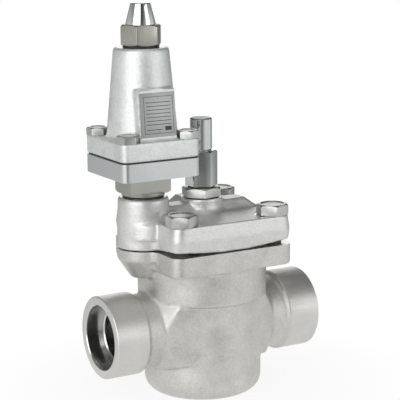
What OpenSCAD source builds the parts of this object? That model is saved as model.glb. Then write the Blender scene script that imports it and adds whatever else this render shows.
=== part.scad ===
// Pilot operated pressure regulating valve with butt socket ports, all sizes in millimetres.
// The flat bottom of the body is centred on the origin, flow runs along +X and the covers point up.
// The main valve stands on the Z axis, its constant pressure pilot on a parallel axis at -X.

/* [Ports] */
// Length over the two port ends
port_span = 156; // [140:1:190]
// Height of the port axis above the flat bottom
port_axis_z = 46; // [42:0.5:50]
// Outside diameter of the two port barrels
port_d = 55.6; // [52:0.1:60]
// Length of the cylindrical part of a port
port_len = 26; // [20:0.5:28]
// Diameter of the socket that takes the pipe end
socket_d = 42.8; // [38:0.1:46]
// Depth of the pipe socket
socket_depth = 11; // [6:0.5:16]
// Diameter of the flow passage behind the socket
passage_d = 33.4; // [28:0.1:35]
// Rounding of the inner end of a port barrel
port_round = 3.2; // [1:0.1:3.5]
// Diameter of the short neck between port and body
neck_d = 50.8; // [46:0.1:51.4]

/* [Body] */
// Height of the body from the flat bottom to the cover joint
body_h = 104; // [100:0.5:115]
// Diameter of the lower barrel
barrel_d = 80; // [76:0.5:84]
// Rounding of the bottom edge
barrel_round = 10; // [6:0.5:14]
// Diameter of the collar under the flange
collar_d = 87.6; // [86:0.1:90]
// Height at which the collar starts
collar_z = 66.5; // [60:0.5:75]
// Amount by which the square flange stands out past the cover
flange_stand = 0.2; // [0.1:0.1:1]
// Thickness of the square flange
flange_h = 13.8; // [10:0.1:16]
// Corner radius of the flange and the cover
flange_corner = 7.4; // [4:0.1:10]
// Diameter of the lobe that carries the pilot, at the joint
lobe_d = 35.6; // [34:0.1:38]
// Fillet between the lobe and the flank of the flange
lobe_fillet = 8; // [4:0.5:10]
// Thickness of the floor under the lower chamber
floor_t = 9; // [6:0.5:11]

/* [Cover] */
// Thickness of the cover gasket
gasket_t = 0.7; // [0.5:0.1:1.5]
// Width of the cover halfway up its side
cover_w = 90.2; // [88:0.1:94]
// Inward draft of the cover sides at top and bottom
cover_draft = 1.1; // [0.4:0.1:2]
// Thickness of the cover plate
cover_h = 18.6; // [17:0.1:22]
// Distance of the cover bolts from the flanks of the cover
cover_bolt_inset = 10.5; // [10.5:0.1:12]
// Thread diameter of the cover bolts
cover_bolt_d = 12; // [10:0.5:12]
// Width across flats of the cover bolts
cover_bolt_af = 19; // [17:0.5:20]
// Height of the heads of the cover bolts
cover_bolt_head = 7.5; // [5:0.5:9]
// Depth to which the cover bolts reach into the body
cover_bolt_reach = 10; // [8:0.5:11]
// Diameter of the boss round the manual spindle
spindle_boss_d = 28; // [27:0.5:30]
// Height of the spindle boss above the joint of the cover
spindle_boss_h = 28.7; // [27:0.1:32]
// Height of the ridges that cover the pilot channels, above the cover
ridge_h = 7.3; // [4:0.1:8]
// Width of the ridges at their top
ridge_top_w = 12; // [8:0.5:16]
// Width of the ridges at their foot
ridge_foot_w = 27; // [22:0.5:30]
// Reach of the raised round joint face past the flanks of the cover
joint_land_reach = 1.9; // [1:0.1:4]
// Height by which the corners of the cover stand clear of the body
corner_relief = 2.4; // [1:0.1:3]
// Turn of the cover bolts
cover_bolt_turn = 15; // [0:1:59]

/* [Guide sleeve and seat] */
// Diameter of the servo piston bore
piston_d = 50; // [46:0.5:52]
// Outside diameter of the sleeve where it is clamped in the body
sleeve_d = 62; // [60:0.5:64]
// Outside diameter of the flange of the sleeve
sleeve_flange_d = 67; // [66:0.5:68]
// Thickness of the flange of the sleeve
sleeve_flange_h = 4; // [3:0.5:5]
// Outside diameter of the windowed part of the sleeve
sleeve_window_d = 56; // [54:0.5:57]
// Outside diameter of the lower end of the sleeve
sleeve_foot_d = 50; // [48:0.5:52]
// Diameter of the opening in the seat
seat_bore_d = 30; // [26:0.5:32]
// Outside diameter of the seat ring
seat_ring_d = 42; // [40:0.5:44]
// Height of the seat ring
seat_ring_h = 6; // [5:0.5:7]
// Height of the seat face above the flat bottom
seat_z = 38; // [37:0.5:40]
// Full travel of the throttle cone
stroke = 9; // [6:0.5:9]

/* [Manual spindle] */
// Shank diameter of the manual spindle
spindle_d = 10; // [8:0.5:10]
// Thread diameter of the manual spindle
spindle_thread_d = 12; // [11:0.5:13]
// Width across flats of the gland nut
gland_af = 24; // [22:0.5:27]
// Height of the hexagon of the gland nut
gland_hex_h = 6.4; // [5:0.1:8]
// Turn of the gland nut
gland_turn = 11; // [0:1:59]
// Diameter of the stub that carries the spindle cap
cap_stub_d = 14; // [13:0.5:14.5]
// Length of the stub that carries the spindle cap
cap_stub_h = 11; // [8:0.5:12]
// Width across flats of the spindle cap
cap_af = 19; // [18:0.5:21]
// Height of the hexagon of the spindle cap
cap_hex_h = 24; // [20:0.5:28]
// Turn of the spindle cap
spindle_cap_turn = 36; // [0:1:59]
// Diameter of the round end of the spindle cap
cap_round_d = 14.7; // [14:0.1:16]
// Height of the round end of the spindle cap
cap_round_h = 20.7; // [16:0.1:24]

/* [Pilot body] */
// Distance of the pilot axis from the main axis
pilot_offset = 44.2; // [42:0.1:46]
// Height of the pilot boss above the joint of the cover
pilot_boss_h = 33.7; // [31:0.1:36]
// Diameter of the pilot boss at its top
pilot_boss_d = 33.4; // [31:0.1:34]
// Thread diameter of the pilot connection
pilot_thread_d = 24; // [23:0.5:25]
// Diameter of the smooth tip of the pilot
pilot_tip_d = 16; // [14:0.5:17]
// Diameter of the collar above the joint ring of the pilot
pilot_collar_d = 28.8; // [27:0.1:30]
// Length of the shank along the flow direction
shank_len = 30; // [28:0.1:34]
// Width across the spanner flats of the shank
shank_flats = 22; // [20:0.1:26]
// Height of the shank from the boss to the square block
shank_h = 15.1; // [12:0.1:20]
// Distance of the bonnet bolts from the flanks of the square block
block_margin = 6.55; // [6.5:0.05:8]
// Thickness of the square block
block_h = 11.9; // [10:0.1:14]
// Corner radius of the square block and the bonnet flange
block_corner = 4.6; // [3:0.1:6]
// Opening of the pilot orifice
orifice_d = 2.8; // [2:0.1:3.5]
// Lift of the pilot needle
pilot_lift = 0.6; // [0.3:0.1:0.8]

/* [Pilot bonnet] */
// Thickness of the bonnet flange
bonnet_flange_h = 11.4; // [9:0.1:13]
// Diameter of the spring housing where it meets the flange
tower_foot_d = 47.1; // [44:0.1:49]
// Diameter of the spring housing at its top
tower_top_d = 36.1; // [34:0.1:40]
// Height of the spring housing above the flange
tower_h = 58; // [54:0.5:64]
// Diameter of the spring room
spring_room_d = 29; // [27:0.5:30]
// Distance of the heads of the bonnet bolts from the foot of the spring housing
bonnet_bolt_gap = 0.7; // [0.6:0.1:2]
// Thread diameter of the bonnet bolts
bonnet_bolt_d = 8; // [6:0.5:8]
// Width across flats of the bonnet bolts
bonnet_bolt_af = 13; // [11:0.5:13]
// Height of the heads of the bonnet bolts
bonnet_bolt_head = 5.3; // [4:0.1:6.5]
// Turn of the bonnet bolts
bonnet_bolt_turn = 20; // [0:1:59]
// Width of the flat pad that carries the nameplate
pad_w = 27; // [25:0.5:30]
// Height of the flat pad
pad_h = 33.5; // [30:0.5:38]
// Width of the nameplate
plate_w = 24; // [20:0.5:25]
// Height of the nameplate
plate_h = 27; // [22:0.5:28]

/* [Setting parts] */
// Wire diameter of the setting spring
setting_wire = 3.2; // [2.6:0.1:3.4]
// Mean diameter of the setting spring
setting_coil_d = 21; // [19:0.5:22]
// Number of coils of the setting spring
setting_coils = 7; // [5:1:7]
// Thread diameter of the setting spindle
setting_thread_d = 10; // [9:0.5:10]
// Downward travel of the spring nut
setting_travel = 12; // [6:0.5:12]
// Width across flats of the pilot cap
pilot_cap_af = 24; // [22:0.5:27]
// Height of the hexagon of the pilot cap
pilot_cap_hex_h = 13.7; // [10:0.1:16]
// Turn of the pilot cap
pilot_cap_turn = 52; // [0:1:59]
// Diameter of the foot of the cone on the pilot cap
pilot_cone_foot_d = 19.5; // [18:0.1:21]
// Diameter of the top of the cone on the pilot cap
pilot_cone_top_d = 12.9; // [11:0.1:15]
// Height of the cone on the pilot cap
pilot_cone_h = 14.5; // [12:0.1:18]

/* [Servo spring] */
// Wire diameter of the servo spring
servo_wire = 2.2; // [1.6:0.1:2.2]
// Mean diameter of the servo spring
servo_coil_d = 29; // [27:0.5:30]
// Number of coils of the servo spring
servo_coils = 3.5; // [3:0.5:3.5]

/* [Hidden] */
$fn = 96;

// Radial clearance of running and screwed fits
run_fit = 0.05;
// Gap that stays between pieces that only face each other
face_gap = 0.3;
// Amount by which a cut runs past the face that it opens
over = 1;
// Reach of cuts that take away everything on one side
far = 200;

// Widths and spacings that follow from the cover and the spring housing
flange_w = cover_w + 2 * flange_stand;
cover_bolt_pitch = cover_w - 2 * cover_bolt_inset;
joint_land_d = cover_w + 2 * joint_land_reach;
bonnet_bolt_pitch = (tower_foot_d + bonnet_bolt_af + 2 * bonnet_bolt_gap) * cos(45);
block_w = bonnet_bolt_pitch + 2 * block_margin;
// Heights of the main valve
joint_z = body_h + gasket_t;
cover_top_z = joint_z + cover_h;
spindle_boss_z = joint_z + spindle_boss_h;
flange_z = body_h - flange_h;
port_x = port_span / 2;
port_foot_x = port_x - port_len;
saddle_x = barrel_d / 2 + 2;
saddle_arch_r = 84;
saddle_spread = 1.2;
saddle_sink = 0.3;
ridge_reach_x = cover_w / 2 - cover_draft - 2;
ridge_reach_y = ridge_reach_x - 4;
lobe_h = 7;

// Chambers of the body
wall_t = 7;
upper_room_d = barrel_d - 2 * wall_t;
lower_room_d = 60;
bridge_h = 12;
bridge_top_z = seat_z + bridge_h;
sleeve_shoulder_z = body_h - sleeve_flange_h - 16;
duct_d = 25;
duct_inner_x = 20;
duct_outer_x = 45;
duct_rise = 20;

// Servo piston and throttle cone
piston_crown_h = 5.2;
piston_skirt_h = 7;
piston_top_z = body_h - 10.8;
piston_crown_z = piston_top_z - piston_crown_h;
piston_wall = 4.4;
web_t = 6;
web_top_z = piston_crown_z - 18;
hub_d = 18;
hub_above = 4;
rod_d = 10;
rod_thread_d = 8;
nut_af = 13;
nut_h = 6.5;
cone_disc_h = 4;
cone_disc_d = seat_bore_d + 8;
cone_skirt_h = seat_ring_h + stroke - 3;
cone_wall = 2;
cone_top_z = seat_z - face_gap;
cone_foot_z = cone_top_z - cone_disc_h;
seal_ring_h = 1.4;

// Manual spindle and its cap
gland_gasket_t = 0.6;
gland_z = spindle_boss_z + gland_gasket_t;
stub_z = gland_z + gland_hex_h;
stub_top_z = stub_z + cap_stub_h;
cap_seal_t = 0.8;
spindle_cap_z = stub_z + cap_seal_t;
cap_round_z = spindle_cap_z + cap_hex_h;
spindle_tip_z = piston_top_z + face_gap;
spindle_top_z = stub_top_z + 10;
spindle_key_af = 7;
spindle_thread_h = 14;
packing_z = joint_z + spindle_thread_h + 1;
packing_h = 5;
gland_thread_d = 20;
gland_nose_z = packing_z + packing_h + face_gap;

// Heights of the pilot
pilot_x = -pilot_offset;
pilot_boss_z = joint_z + pilot_boss_h;
joint_ring_t = 1;
collar_z_low = pilot_boss_z + joint_ring_t;
collar_t = 2.4;
block_z = pilot_boss_z + shank_h;
block_top_z = block_z + block_h;
diaphragm_gasket_t = 0.9;
diaphragm_t = 0.4;
diaphragm_z = block_top_z + diaphragm_gasket_t;
bonnet_z = diaphragm_z + diaphragm_t;
tower_z = bonnet_z + bonnet_flange_h;
tower_top_z = tower_z + tower_h;
pilot_thread_len = 15.4;
pilot_thread_z = pilot_boss_z - pilot_thread_len;
pilot_socket_z = pilot_thread_z - 3;
pilot_tip_z = pilot_thread_z - 10.5;
pilot_pocket_z = pilot_tip_z - 2.5;
pilot_channel_d = 3.2;
feed_x = pilot_x + 5.7;
feed_y = -11;
diaphragm_room_d = 36;
diaphragm_room_h = 3;
orifice_z = block_top_z - 5;
bush_d = 12;
bush_h = 10;

// Spring housing and setting parts
spring_room_z = bonnet_z + 2.5;
spring_room_top_z = tower_top_z - 14.1;
thrust_washer_t = 0.7;
plate_disc_h = 4;
plate_spigot_h = 3;
setting_spring_z = bonnet_z + face_gap + plate_disc_h;
setting_spring_h = 36.5;
spring_nut_z = setting_spring_z + setting_spring_h;
spring_nut_h = 6;
setting_collar_d = 15.6;
setting_collar_h = 3;
setting_collar_top_z = spring_room_top_z - thrust_washer_t - run_fit;
rib_w = 2;
neck_thread_d = 16;
neck_h = 10;
setting_key_af = 6;
setting_key_h = 8;
pilot_cap_seal_t = 1.2;
pilot_cap_z = tower_top_z + pilot_cap_seal_t;
pilot_cone_z = pilot_cap_z + pilot_cap_hex_h;
pad_slope = atan((tower_foot_d - tower_top_d) / 2 / tower_h);
pad_stand = 0.5;
plate_t = 0.8;

cast_grey = [0.77, 0.77, 0.74];
cover_grey = [0.84, 0.84, 0.83];
pilot_grey = [0.75, 0.78, 0.77];
silver = [0.90, 0.90, 0.91];
nickel = [0.62, 0.62, 0.58];
bright_steel = [0.70, 0.71, 0.72];
black_seal = [0.10, 0.10, 0.10];
spring_steel = [0.45, 0.46, 0.48];
white_seal = [0.92, 0.92, 0.90];
bronze = [0.70, 0.55, 0.32];

// A flat ring
module ring(d_out, d_in, h) {
    difference() {
        cylinder(d = d_out, h = h);
        translate([0, 0, -over]) cylinder(d = d_in, h = h + 2 * over);
    }
}

// A round seal of circular section
module seal_ring(centre_d, wire_d) {
    rotate_extrude() translate([centre_d / 2, 0]) circle(d = wire_d, $fn = 24);
}

// A hexagon by its width across flats and its turn, with the corners turned off at the ends asked for
module hexagon(af, h, turn = 0, top = true, bottom = false) {
    corner_r = af / 2 / cos(30);
    turned = (corner_r - af / 2 + 0.2) * tan(30);
    rotate([0, 0, turn]) intersection() {
        cylinder(r = corner_r, h = h, $fn = 6);
        rotate_extrude() polygon([
            [0, 0],
            [bottom ? af / 2 - 0.2 : corner_r + over, 0],
            [corner_r + (bottom ? 0 : over), bottom ? turned : 0],
            [corner_r + (top ? 0 : over), h - (top ? turned : 0)],
            [top ? af / 2 - 0.2 : corner_r + over, h],
            [0, h]
        ]);
    }
}

// A square outline with round corners
module rounded_square(w, r) {
    square([w - 2 * r, w], center = true);
    square([w, w - 2 * r], center = true);
    for (x = [-1, 1], y = [-1, 1])
        translate([x * (w / 2 - r), y * (w / 2 - r)]) circle(r = r);
}

// A plate in the outline of the cover joint: a square with the pilot lobe and its two fillets
module joint_plate(w, lobe, h) {
    linear_extrude(h) rounded_square(w, flange_corner);
    translate([pilot_x, 0, 0]) cylinder(d = lobe, h = h);
    linear_extrude(h) lobe_fillets(w, lobe);
}

// The two hollow fillets between the lobe and the flank of the square
module lobe_fillets(w, lobe) {
    fillet_x = -w / 2 - lobe_fillet;
    reach = lobe / 2 + lobe_fillet;
    fillet_y = sqrt(reach * reach - pow(fillet_x - pilot_x, 2));
    difference() {
        polygon([
            [pilot_x, 0], [fillet_x, fillet_y], [-w / 2 + over, fillet_y],
            [-w / 2 + over, -fillet_y], [fillet_x, -fillet_y]
        ]);
        for (y = [-1, 1]) translate([fillet_x, y * fillet_y]) circle(r = lobe_fillet);
    }
}

// Places children at the four corners of a square bolt pattern
module at_corners(pitch) {
    for (x = [-1, 1], y = [-1, 1]) translate([x * pitch / 2, y * pitch / 2, 0]) children();
}

// A hexagon head bolt with its head seated at z = 0 and its shank below
module hex_bolt(d, length, af, head, turn) {
    rotate([0, 0, turn]) {
        hexagon(af, head);
        translate([0, 0, -length]) cylinder(d = d, h = length + over / 2);
    }
}

// A compression spring with closed ends, standing on z = 0
module spring(mean_d, wire, height, coils) {
    steps = 20;
    sides = 8;
    rings = ceil(coils * steps);
    closed = wire * 1.04;
    climb = (height - wire - 2 * closed) / (coils - 2);
    function rise(u) = wire / 2 + (u < 1 ? closed * u
        : u > coils - 1 ? closed + climb * (coils - 2) + closed * (u - coils + 1)
        : closed + climb * (u - 1));
    function turn(i) = coils * i / rings;
    points = [
        for (i = [0:rings]) for (k = [0:sides - 1])
            let (a = 360 * turn(i), b = 360 * k / sides, r = mean_d / 2 + wire / 2 * cos(b))
                [r * cos(a), r * sin(a), rise(turn(i)) + wire / 2 * sin(b)]
    ];
    skin = [
        for (i = [0:rings - 1]) for (k = [0:sides - 1])
            let (a = i * sides + k, b = i * sides + (k + 1) % sides)
                [a, b, b + sides, a + sides]
    ];
    start = [[for (k = [sides - 1:-1:0]) k]];
    finish = [[for (k = [0:sides - 1]) rings * sides + k]];
    polyhedron(points, concat(start, skin, finish));
}

// One port: barrel with a rounded foot, short neck and the blend that runs into the body
module port_outside() {
    rotate([0, 90, 0]) {
        rotate_extrude() {
            difference() {
                translate([0, port_foot_x]) square([port_d / 2, port_len]);
                translate([port_d / 2 - port_round, port_foot_x - over])
                    square([port_round + over, port_round + over]);
            }
            translate([port_d / 2 - port_round, port_foot_x + port_round]) circle(r = port_round);
        }
        cylinder(d = neck_d, h = port_foot_x + over);
    }
    saddle();
}

// The blend from the neck to the barrel: flanks tangent to the barrel, gently arched above and below
module saddle() {
    neck_r = neck_d / 2;
    barrel_r = barrel_d / 2 - saddle_sink;
    corner = norm([saddle_x, neck_r]);
    touch = atan(neck_r / saddle_x) + acos(barrel_r / corner);
    arch_shift = saddle_arch_r - neck_r;
    intersection() {
        translate([0, 0, -neck_r]) linear_extrude(2 * neck_r) polygon([
            [0, 0], [barrel_r * cos(touch), -barrel_r * sin(touch)], [saddle_x, -neck_r],
            [saddle_x, neck_r], [barrel_r * cos(touch), barrel_r * sin(touch)]
        ]);
        for_both(arch_shift) rotate([0, 90, 0]) cylinder(r = saddle_arch_r, h = saddle_x);
        rotate([0, 90, 0]) cylinder(r1 = neck_r + saddle_x * saddle_spread, r2 = neck_r, h = saddle_x);
    }
}

// What a shape and its mirror image have in common, each shifted up or down by the same amount
module for_both(shift) {
    intersection() {
        translate([0, 0, shift]) children();
        translate([0, 0, -shift]) children();
    }
}

// One flow path: pipe socket, straight passage and the duct that slants to its chamber
module port_inside(rise) {
    rotate([0, 90, 0]) {
        translate([0, 0, port_x - socket_depth]) cylinder(d = socket_d, h = socket_depth + over);
        translate([0, 0, 37]) cylinder(d = passage_d, h = port_x - 37);
    }
    duct_run = duct_outer_x - duct_inner_x;
    duct_angle = atan(rise / duct_run);
    translate([duct_inner_x, 0, rise])
        rotate([0, 90 + duct_angle, 0])
            cylinder(d = duct_d, h = duct_run / cos(duct_angle));
}

module valve_body() {
    color(cast_grey) difference() {
        union() {
            rotate_extrude() {
                translate([0, barrel_round]) square([barrel_d / 2, collar_z + 2 - barrel_round]);
                square([barrel_d / 2 - barrel_round, barrel_round + over]);
                translate([barrel_d / 2 - barrel_round, barrel_round]) circle(r = barrel_round);
            }
            rotate_extrude() polygon([
                [0, collar_z], [collar_d / 2 - over, collar_z], [collar_d / 2, collar_z + over],
                [collar_d / 2, flange_z + over], [0, flange_z + over]
            ]);
            for (side = [0, 180])
                translate([0, 0, port_axis_z]) rotate([0, 0, side]) port_outside();
            translate([0, 0, flange_z]) linear_extrude(flange_h)
                rounded_square(flange_w, flange_corner);
            translate([0, 0, body_h - lobe_h]) joint_plate(flange_w, lobe_d, lobe_h);
            body_lobe();
        }
        body_rooms();
    }
}

// The taper that carries the pilot lobe down to the collar
module body_lobe() {
    hull() {
        translate([pilot_x, 0, body_h - lobe_h]) cylinder(d = lobe_d, h = over, $fn = 32);
        translate([13 - collar_d / 2, 0, flange_z - 3]) cylinder(d = 24, h = over, $fn = 32);
    }
}

module body_rooms() {
    translate([0, 0, floor_t]) cylinder(d = lower_room_d, h = seat_z - floor_t);
    cylinder_from(seat_z - over, bridge_top_z + over, sleeve_foot_d + 2 * run_fit);
    cylinder_from(bridge_top_z, sleeve_shoulder_z, upper_room_d);
    cylinder_from(sleeve_shoulder_z - over, body_h, sleeve_d + 2 * run_fit);
    cylinder_from(body_h - sleeve_flange_h, body_h + over, sleeve_flange_d + 2 * run_fit);
    translate([0, 0, port_axis_z]) {
        port_inside(duct_rise);
        rotate([0, 0, 180]) port_inside(-duct_rise);
    }
    translate([feed_x, feed_y, port_axis_z + 9]) cylinder(d = pilot_channel_d, h = far);
    translate([0, 0, body_h - cover_bolt_reach - 2]) at_corners(cover_bolt_pitch)
        cylinder(d = cover_bolt_d + 2 * run_fit, h = far);
}

// A cylinder on the main axis between two heights
module cylinder_from(z_low, z_high, d) {
    translate([0, 0, z_low]) cylinder(d = d, h = z_high - z_low);
}

module cover_gasket() {
    color(black_seal) translate([0, 0, body_h]) difference() {
        cylinder(d = joint_land_d - 6, h = gasket_t);
        translate([0, 0, -over]) cylinder(d = piston_d + 2, h = gasket_t + 2 * over);
        translate([feed_x, feed_y, -over]) cylinder(d = pilot_channel_d, h = gasket_t + 2 * over);
        translate([0, 0, -over]) at_corners(cover_bolt_pitch)
            cylinder(d = cover_bolt_d + over, h = gasket_t + 2 * over);
    }
}

module top_cover() {
    color(cover_grey) difference() {
        union() {
            cover_plate();
            cylinder_from(cover_top_z - over, spindle_boss_z, spindle_boss_d);
            translate([pilot_x, 0, joint_z])
                cylinder(d1 = lobe_d, d2 = pilot_boss_d, h = pilot_boss_h);
        }
        corner_clearance();
        cylinder_from(joint_z - over, far, spindle_thread_d + 2 * run_fit);
        cylinder_from(packing_z, far, spindle_thread_d + 4 + 2 * run_fit);
        cylinder_from(packing_z + packing_h, far, gland_thread_d + 2 * run_fit);
        translate([pilot_x, 0, pilot_pocket_z]) cylinder(d = pilot_tip_d + 2 * run_fit, h = far);
        translate([pilot_x, 0, pilot_socket_z]) cylinder(d = pilot_thread_d + 2 * run_fit, h = far);
        translate([feed_x, feed_y, joint_z - over])
            cylinder(d = pilot_channel_d, h = pilot_socket_z - joint_z + 3);
        translate([pilot_x + 6, 0, pilot_pocket_z + 2.5]) rotate([0, 116, 0])
            cylinder(d = pilot_channel_d, h = 24);
        translate([0, 0, joint_z - over]) at_corners(cover_bolt_pitch)
            cylinder(d = cover_bolt_d + over, h = cover_h + 2 * over);
    }
}

// The square plate with drafted sides, the fillets to the pilot boss and the ridges on its top
module cover_plate() {
    hull() for (level = [[0, 1], [cover_h / 2, 0], [cover_h, 1]])
        translate([0, 0, joint_z + level[0] * (cover_h - 0.01) / cover_h])
            linear_extrude(0.01) rounded_square(cover_w - 2 * cover_draft * level[1], flange_corner, $fn = 32);
    translate([0, 0, joint_z]) linear_extrude(cover_h - over)
        lobe_fillets(cover_w - 2 * cover_draft, lobe_d);
    translate([0, 0, cover_top_z]) cylinder(d1 = spindle_boss_d + 9, d2 = spindle_boss_d, h = 4.5);
    ridge(pilot_offset, 0, 180);
    ridge(ridge_reach_x, 11, 0);
    ridge(ridge_reach_y, 11, 90);
}

// A ridge that runs outwards from the spindle boss and slopes down at its end
module ridge(reach, slope, turn) {
    foot_h = -over;
    translate([0, 0, cover_top_z]) rotate([0, 0, turn]) intersection() {
        rotate([90, 0, 90]) linear_extrude(reach) polygon([
            [-ridge_foot_w / 2, foot_h], [ridge_foot_w / 2, foot_h],
            [ridge_top_w / 2, ridge_h], [-ridge_top_w / 2, ridge_h]
        ]);
        rotate([90, 0, 0]) linear_extrude(far, center = true) polygon([
            [0, foot_h], [reach, foot_h], [reach - slope, ridge_h], [0, ridge_h]
        ]);
    }
}

// What the cover leaves free under its four corners, outside the joint face and the pilot lobe
module corner_clearance() {
    translate([0, 0, joint_z - over]) difference() {
        translate([0, 0, (corner_relief + over) / 2])
            cube([cover_w + far, cover_w + far, corner_relief + over], center = true);
        translate([0, 0, -over]) cylinder(d = joint_land_d, h = corner_relief + 3 * over);
        translate([pilot_x, 0, -over]) cylinder(d = lobe_d + over, h = corner_relief + 3 * over);
    }
}

module cover_bolts() {
    color(bright_steel) translate([0, 0, cover_top_z]) at_corners(cover_bolt_pitch)
        hex_bolt(cover_bolt_d, cover_h + gasket_t + cover_bolt_reach, cover_bolt_af,
            cover_bolt_head, cover_bolt_turn);
}

module guide_sleeve() {
    color(bright_steel) difference() {
        union() {
            sleeve_shell();
            cylinder_from(web_top_z - web_t - 6, web_top_z + hub_above, hub_d);
        }
        cylinder_from(seat_z, body_h, rod_d + 2 * run_fit);
        for (turn = [45:90:315]) rotate([0, 0, turn]) translate([15, 0, web_top_z - web_t - over])
            cylinder(d = 4, h = web_t + 2 * over);
    }
}

// The sleeve without its hub: piston bore above the web, windows and seat below it
module sleeve_shell() {
    bore_foot_z = seat_z + seat_ring_h;
    window_low_z = bridge_top_z + over;
    window_top_z = web_top_z - web_t - over;
    difference() {
        union() {
            cylinder_from(seat_z, sleeve_shoulder_z, sleeve_foot_d);
            cylinder_from(bridge_top_z, sleeve_shoulder_z, sleeve_window_d);
            cylinder_from(sleeve_shoulder_z, body_h, sleeve_d);
            cylinder_from(body_h - sleeve_flange_h, body_h, sleeve_flange_d);
        }
        cylinder_from(web_top_z, body_h + over, piston_d);
        cylinder_from(bore_foot_z - over, web_top_z - web_t, sleeve_foot_d - 8);
        cylinder_from(seat_z - over, bore_foot_z, seat_ring_d + 2 * run_fit);
        for (turn = [0:60:300]) rotate([0, 0, turn]) translate([hub_d, -8, window_low_z])
            cube([far, 16, window_top_z - window_low_z]);
        translate([0, 0, seat_z + 9]) seal_ring_groove(sleeve_foot_d, 2);
        translate([0, 0, sleeve_shoulder_z + 8]) seal_ring_groove(sleeve_d, 2);
    }
}

// The cut of a groove for a round seal in the outside of a cylinder
module seal_ring_groove(d, wire_d) {
    translate([0, 0, -wire_d * 0.6]) ring(d + 2 * over, d - 2 * wire_d, wire_d * 1.2);
}

module seat_ring() {
    color(bright_steel) translate([0, 0, seat_z]) ring(seat_ring_d, seat_bore_d, seat_ring_h);
}

module sleeve_foot_oring() {
    color(black_seal) translate([0, 0, seat_z + 9]) seal_ring(sleeve_foot_d - 2, 1.95);
}

module sleeve_top_oring() {
    color(black_seal) translate([0, 0, sleeve_shoulder_z + 8]) seal_ring(sleeve_d - 2, 1.95);
}

module servo_spring() {
    color(spring_steel) translate([0, 0, web_top_z])
        spring(servo_coil_d, servo_wire, piston_crown_z - web_top_z - run_fit, servo_coils);
}

module servo_piston() {
    body_d = piston_d - 4 * run_fit;
    color(bright_steel) difference() {
        union() {
            cylinder_from(piston_crown_z - piston_skirt_h, piston_top_z, body_d);
            cylinder_from(cone_foot_z, piston_crown_z, rod_d);
            cylinder_from(cone_foot_z - nut_h - 1.5, cone_foot_z, rod_thread_d);
        }
        translate([0, 0, piston_crown_z - piston_skirt_h - over])
            ring(body_d - 2 * piston_wall, rod_d, piston_skirt_h + over);
        translate([0, 0, piston_crown_z + 1.6]) ring(piston_d + over, body_d - 4.6, 2);
        ring(rod_d + over, rod_thread_d, cone_foot_z + cone_disc_h);
    }
}

module piston_ring() {
    color(white_seal) translate([0, 0, piston_crown_z + 1.65])
        ring(piston_d - 2 * run_fit, piston_d - 4.4, 1.9);
}

module throttle_cone() {
    skirt_d = seat_bore_d - 2 * run_fit;
    notch_count = 4;
    color(bright_steel) difference() {
        union() {
            cylinder_from(cone_foot_z, cone_top_z, cone_disc_d);
            cylinder_from(cone_top_z - over, cone_top_z + cone_skirt_h, skirt_d);
        }
        translate([0, 0, cone_top_z])
            ring(skirt_d - 2 * cone_wall, rod_d + 6, cone_skirt_h + over);
        cylinder_from(cone_top_z + 6, cone_top_z + cone_skirt_h + over, rod_d + 6 + over);
        cylinder_from(cone_foot_z - over, cone_foot_z + cone_disc_h, rod_thread_d + 2 * run_fit);
        cylinder_from(cone_foot_z + cone_disc_h, cone_top_z + cone_skirt_h, rod_d + 2 * run_fit);
        translate([0, 0, cone_top_z - seal_ring_h])
            ring(seat_bore_d + 6, seat_bore_d + 1, seal_ring_h + over);
        for (k = [0:notch_count - 1]) rotate([0, 0, k * 180 / notch_count])
            translate([0, 0, cone_top_z + 0.6]) rotate([90, 0, 0])
                linear_extrude(2 * seat_bore_d, center = true)
                    polygon([[-0.8, 0], [0.8, 0], [4.2, stroke - 1], [-4.2, stroke - 1]]);
    }
}

module seal_disc() {
    color(white_seal) translate([0, 0, cone_top_z - seal_ring_h])
        ring(seat_bore_d + 6 - 2 * run_fit, seat_bore_d + 1 + 2 * run_fit, seal_ring_h);
}

module cone_nut() {
    color(bright_steel) translate([0, 0, cone_foot_z - nut_h]) difference() {
        hexagon(nut_af, nut_h, top = false, bottom = true);
        translate([0, 0, -over]) cylinder(d = rod_thread_d + 2 * run_fit, h = nut_h + 2 * over);
    }
}

module spindle_packing() {
    color(white_seal) translate([0, 0, packing_z])
        ring(spindle_thread_d + 4, spindle_d + 4 * run_fit, packing_h);
}

module gland_gasket() {
    color(black_seal) translate([0, 0, spindle_boss_z])
        ring(gland_af - over, gland_thread_d + 4 * run_fit, gland_gasket_t);
}

module gland_nut() {
    color(silver) difference() {
        union() {
            translate([0, 0, gland_z]) hexagon(gland_af, gland_hex_h, gland_turn);
            cylinder_from(gland_nose_z, gland_z + over, gland_thread_d);
            cylinder_from(stub_z - over, stub_top_z, cap_stub_d);
        }
        cylinder_from(gland_nose_z - over, stub_top_z + over, spindle_d + 4 * run_fit);
    }
}

module manual_spindle() {
    groove_z = joint_z - 2.4;
    color(bright_steel) difference() {
        union() {
            cylinder_from(spindle_tip_z, spindle_top_z, spindle_d);
            cylinder_from(joint_z + face_gap, joint_z + face_gap + spindle_thread_h - over, spindle_thread_d);
        }
        translate([0, 0, groove_z]) ring(spindle_d + over, spindle_d - 2, 1.3);
        for (turn = [0, 90]) rotate([0, 0, turn]) for (side = [-1, 1])
            translate([side * (spindle_key_af / 2 + far / 2), 0, spindle_top_z - 8 + far / 2])
                cube(far, center = true);
    }
}

module spindle_stop_ring() {
    color(spring_steel) translate([0, 0, joint_z - 2.35])
        ring(spindle_d + 5, spindle_d - 2 + 2 * run_fit, 1.2);
}

module spindle_cap_seal() {
    color(black_seal) translate([0, 0, stub_z])
        ring(cap_af - over, cap_stub_d + 4 * run_fit, cap_seal_t);
}

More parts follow.
